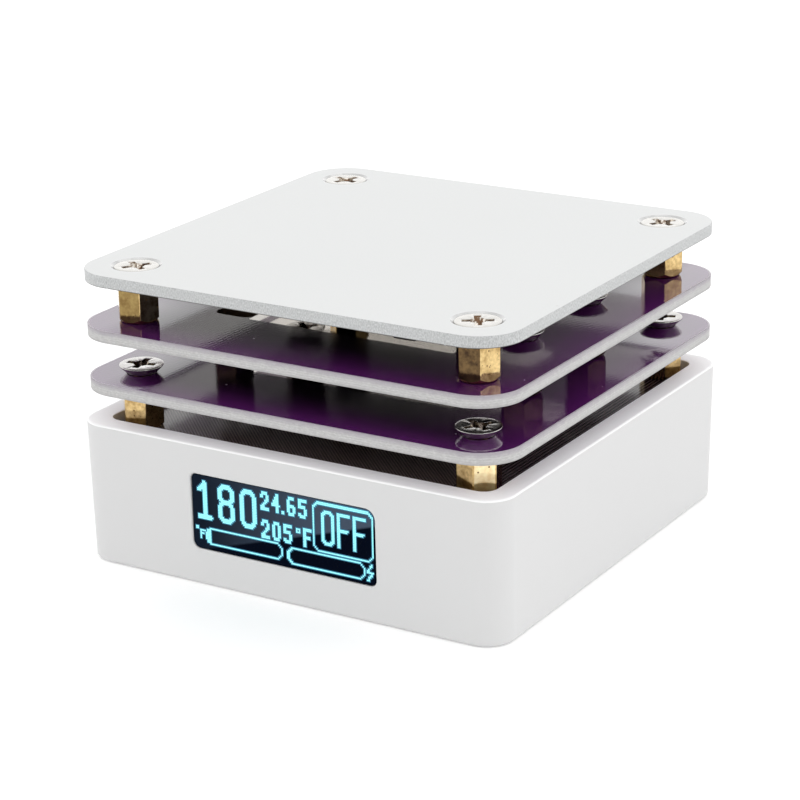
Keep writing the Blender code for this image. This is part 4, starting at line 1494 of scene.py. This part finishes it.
def makeKeys():
    for number in range(3):
        node = f"button_cap_{number + 1}"
        low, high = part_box(node)
        seat = keys["seat"] * mm
        face = -low.x
        back = -high.x
        radius = keys["radius"]
        lip = radius + keys["collar"]
        soft = keys["soft"]
        profile = [(0, face)]
        profile.append(((radius - 1.1) * mm, face - 0.04 * mm))
        for step in range(5):
            angle = step / 4 * math.pi / 2
            across = radius - soft + soft * math.sin(angle)
            down = soft * (1 - math.cos(angle)) + 0.06
            profile.append((across * mm, face - down * mm))
        profile += [(radius * mm, seat), (lip * mm, seat), (lip * mm, back), (0, back)]
        cap = turnProfile(f"keyCap{number + 1}", profile, 56)
        cap.rotation_euler = (0, -math.pi / 2, 0)
        cap.location = (0, (low.y + high.y) / 2, (low.z + high.z) / 2)
        focus(cap)
        applyPlace()
        polish(cap)
        settle(cap, [keyFinish], [node], f"button_{number + 1}")
    print("keys modelled")


socket = {
    "skin": 0.3,
    "backWall": 1.2,
    "tongueWidth": 6.6,
    "tongueHeight": 0.7,
    "tongueShort": 1.2,  # behind the shell's mouth
    "contacts": 12,
    "contactPitch": 0.5,
    "contactHalf": 0.13,
    "contactRear": 5.2,
    "contactFront": 1.6,
}


def makeSocket(metal, plastic, gold):
    low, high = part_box("usb_socket")
    shell = addBlock("socketShell", low, high)
    tall = (high.z - low.z) / 2

    def isLong(edge):
        run = edge.verts[1].co - edge.verts[0].co
        return abs(run.y) > 0.9 * run.length

    roundEdges(shell, isLong, slotRound * tall, 12)
    skin = socket["skin"] * mm
    inside = addBlock(
        "socketInside",
        (low.x + skin, low.y + socket["backWall"] * mm, low.z + skin),
        (high.x - skin, high.y + mm, high.z - skin),
    )
    roundEdges(inside, isLong, slotRound * (tall - skin), 12)
    cut(shell, inside)
    polish(shell)
    settle(shell, [metal], ["usb_socket"])
    middle = (low.z + high.z) / 2
    half = socket["tongueHeight"] / 2 * mm
    tongue = roundedBlock(
        "socketTongue",
        (-socket["tongueWidth"] / 2 * mm, low.y + mm, middle - half),
        (socket["tongueWidth"] / 2 * mm, high.y - socket["tongueShort"] * mm, middle + half),
        0.01 * mm,
        1,
    )

    def isMouthEdge(edge):
        return max(vert.co.y for vert in edge.verts) > high.y - 1.3 * mm

    roundEdges(tongue, isMouthEdge, 0.12 * mm, 2)
    polish(tongue)
    tongue.data.materials.append(plastic)
    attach(tongue, "base")
    strip = None
    for number in range(socket["contacts"]):
        x = (number - (socket["contacts"] - 1) / 2) * socket["contactPitch"] * mm
        for side in (-1, 1):
            lowZ = middle + side * half - 0.02 * mm
            contact = addBlock(
                f"contact{number}{side}",
                (x - socket["contactHalf"] * mm, high.y - socket["contactRear"] * mm, lowZ),
                (x + socket["contactHalf"] * mm, high.y - socket["contactFront"] * mm, lowZ + 0.04 * mm),
            )
            if strip is None:
                strip = contact
            else:
                focus(strip)
                contact.select_set(True)
                bpy.ops.object.join()
    strip.name = "socketContacts"
    strip.data.materials.append(gold)
    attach(strip, "base")
    print("socket modelled")


def dressInside():
    # small pieces that stay as they are
    resin = plainFinish("blackResin", (0.022, 0.022, 0.024), 0.5)
    film = plainFinish("amberFilm", (0.42, 0.22, 0.05), 0.35)
    tin = plainFinish("drawnCan", (0.62, 0.62, 0.63), 0.28, 1.0)
    grey = plainFinish("greyPlastic", (0.30, 0.30, 0.31), 0.5)
    board = boardFinish()
    wanted = {
        "control_board": board,
        "controller_chip": resin,
        "power_transistor": resin,
        "input_capacitor": tin,
        "display_panel": resin,
        "display_flex": film,
    }
    for number in (1, 2, 3):
        wanted[f"switch_body_{number}"] = resin
        wanted[f"switch_plunger_{number}"] = grey
    for node, finish in wanted.items():
        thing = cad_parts[node]
        thing.data.materials.clear()
        thing.data.materials.append(finish)
    print("inner pieces finished")


addCamera()
addStudio()
keyFinish = caseFinish("keyPlastic")
makeCase()
makePlate()
makeHeaterFilm(bareFinish("heaterFilm", (0.50, 0.485, 0.465), 0.02, 0.04, 0.01))
makeSensorChip(bareFinish("sensorFilm", (0.50, 0.485, 0.465), 0.03, 0.06, 0.02))
strip = stripFinish()
# painted shade: the shallow pocket is dark brown inside, standing for a deep opening
slotShade = plainFinish("slotPaintedShade", (0.060, 0.030, 0.012), 0.6)
mask = maskFinish()
tin = bareFinish("tinnedPanel", (0.92, 0.90, 0.87), 0.015, 0.03, 0.01)
below = bareFinish("bareUnderside", (0.52, 0.50, 0.49), 0.02, 0.04, 0.01)
for name, node in (("upperShield", "upper_shield"), ("lowerShield", "lower_shield")):
    edge = laminateFinish(name + "Edge", node)
    makeShield(name, node, [edge, strip, mask, tin, slotShade, below])
makeStandoffs()
makeScrews(
    [
        nickelFinish("brightNickel", (0.60, 0.585, 0.565)),
        recessFinish("crossRecess", (0.060, 0.036, 0.022), (0.38, 0.33, 0.27)),
    ],
    [
        nickelFinish("paleNickel", (0.67, 0.655, 0.625)),
        recessFinish("paleRecess", (0.15, 0.09, 0.055), (0.66, 0.62, 0.56)),
    ],
)
makeDisplay()
makeKeys()
makeSocket(
    plainFinish("tinnedSteel", (0.62, 0.62, 0.64), 0.25, 1.0),
    plainFinish("tongueResin", (0.02, 0.02, 0.02), 0.45),
    plainFinish("goldContact", (0.85, 0.62, 0.28), 0.25, 1.0),
)
dressInside()
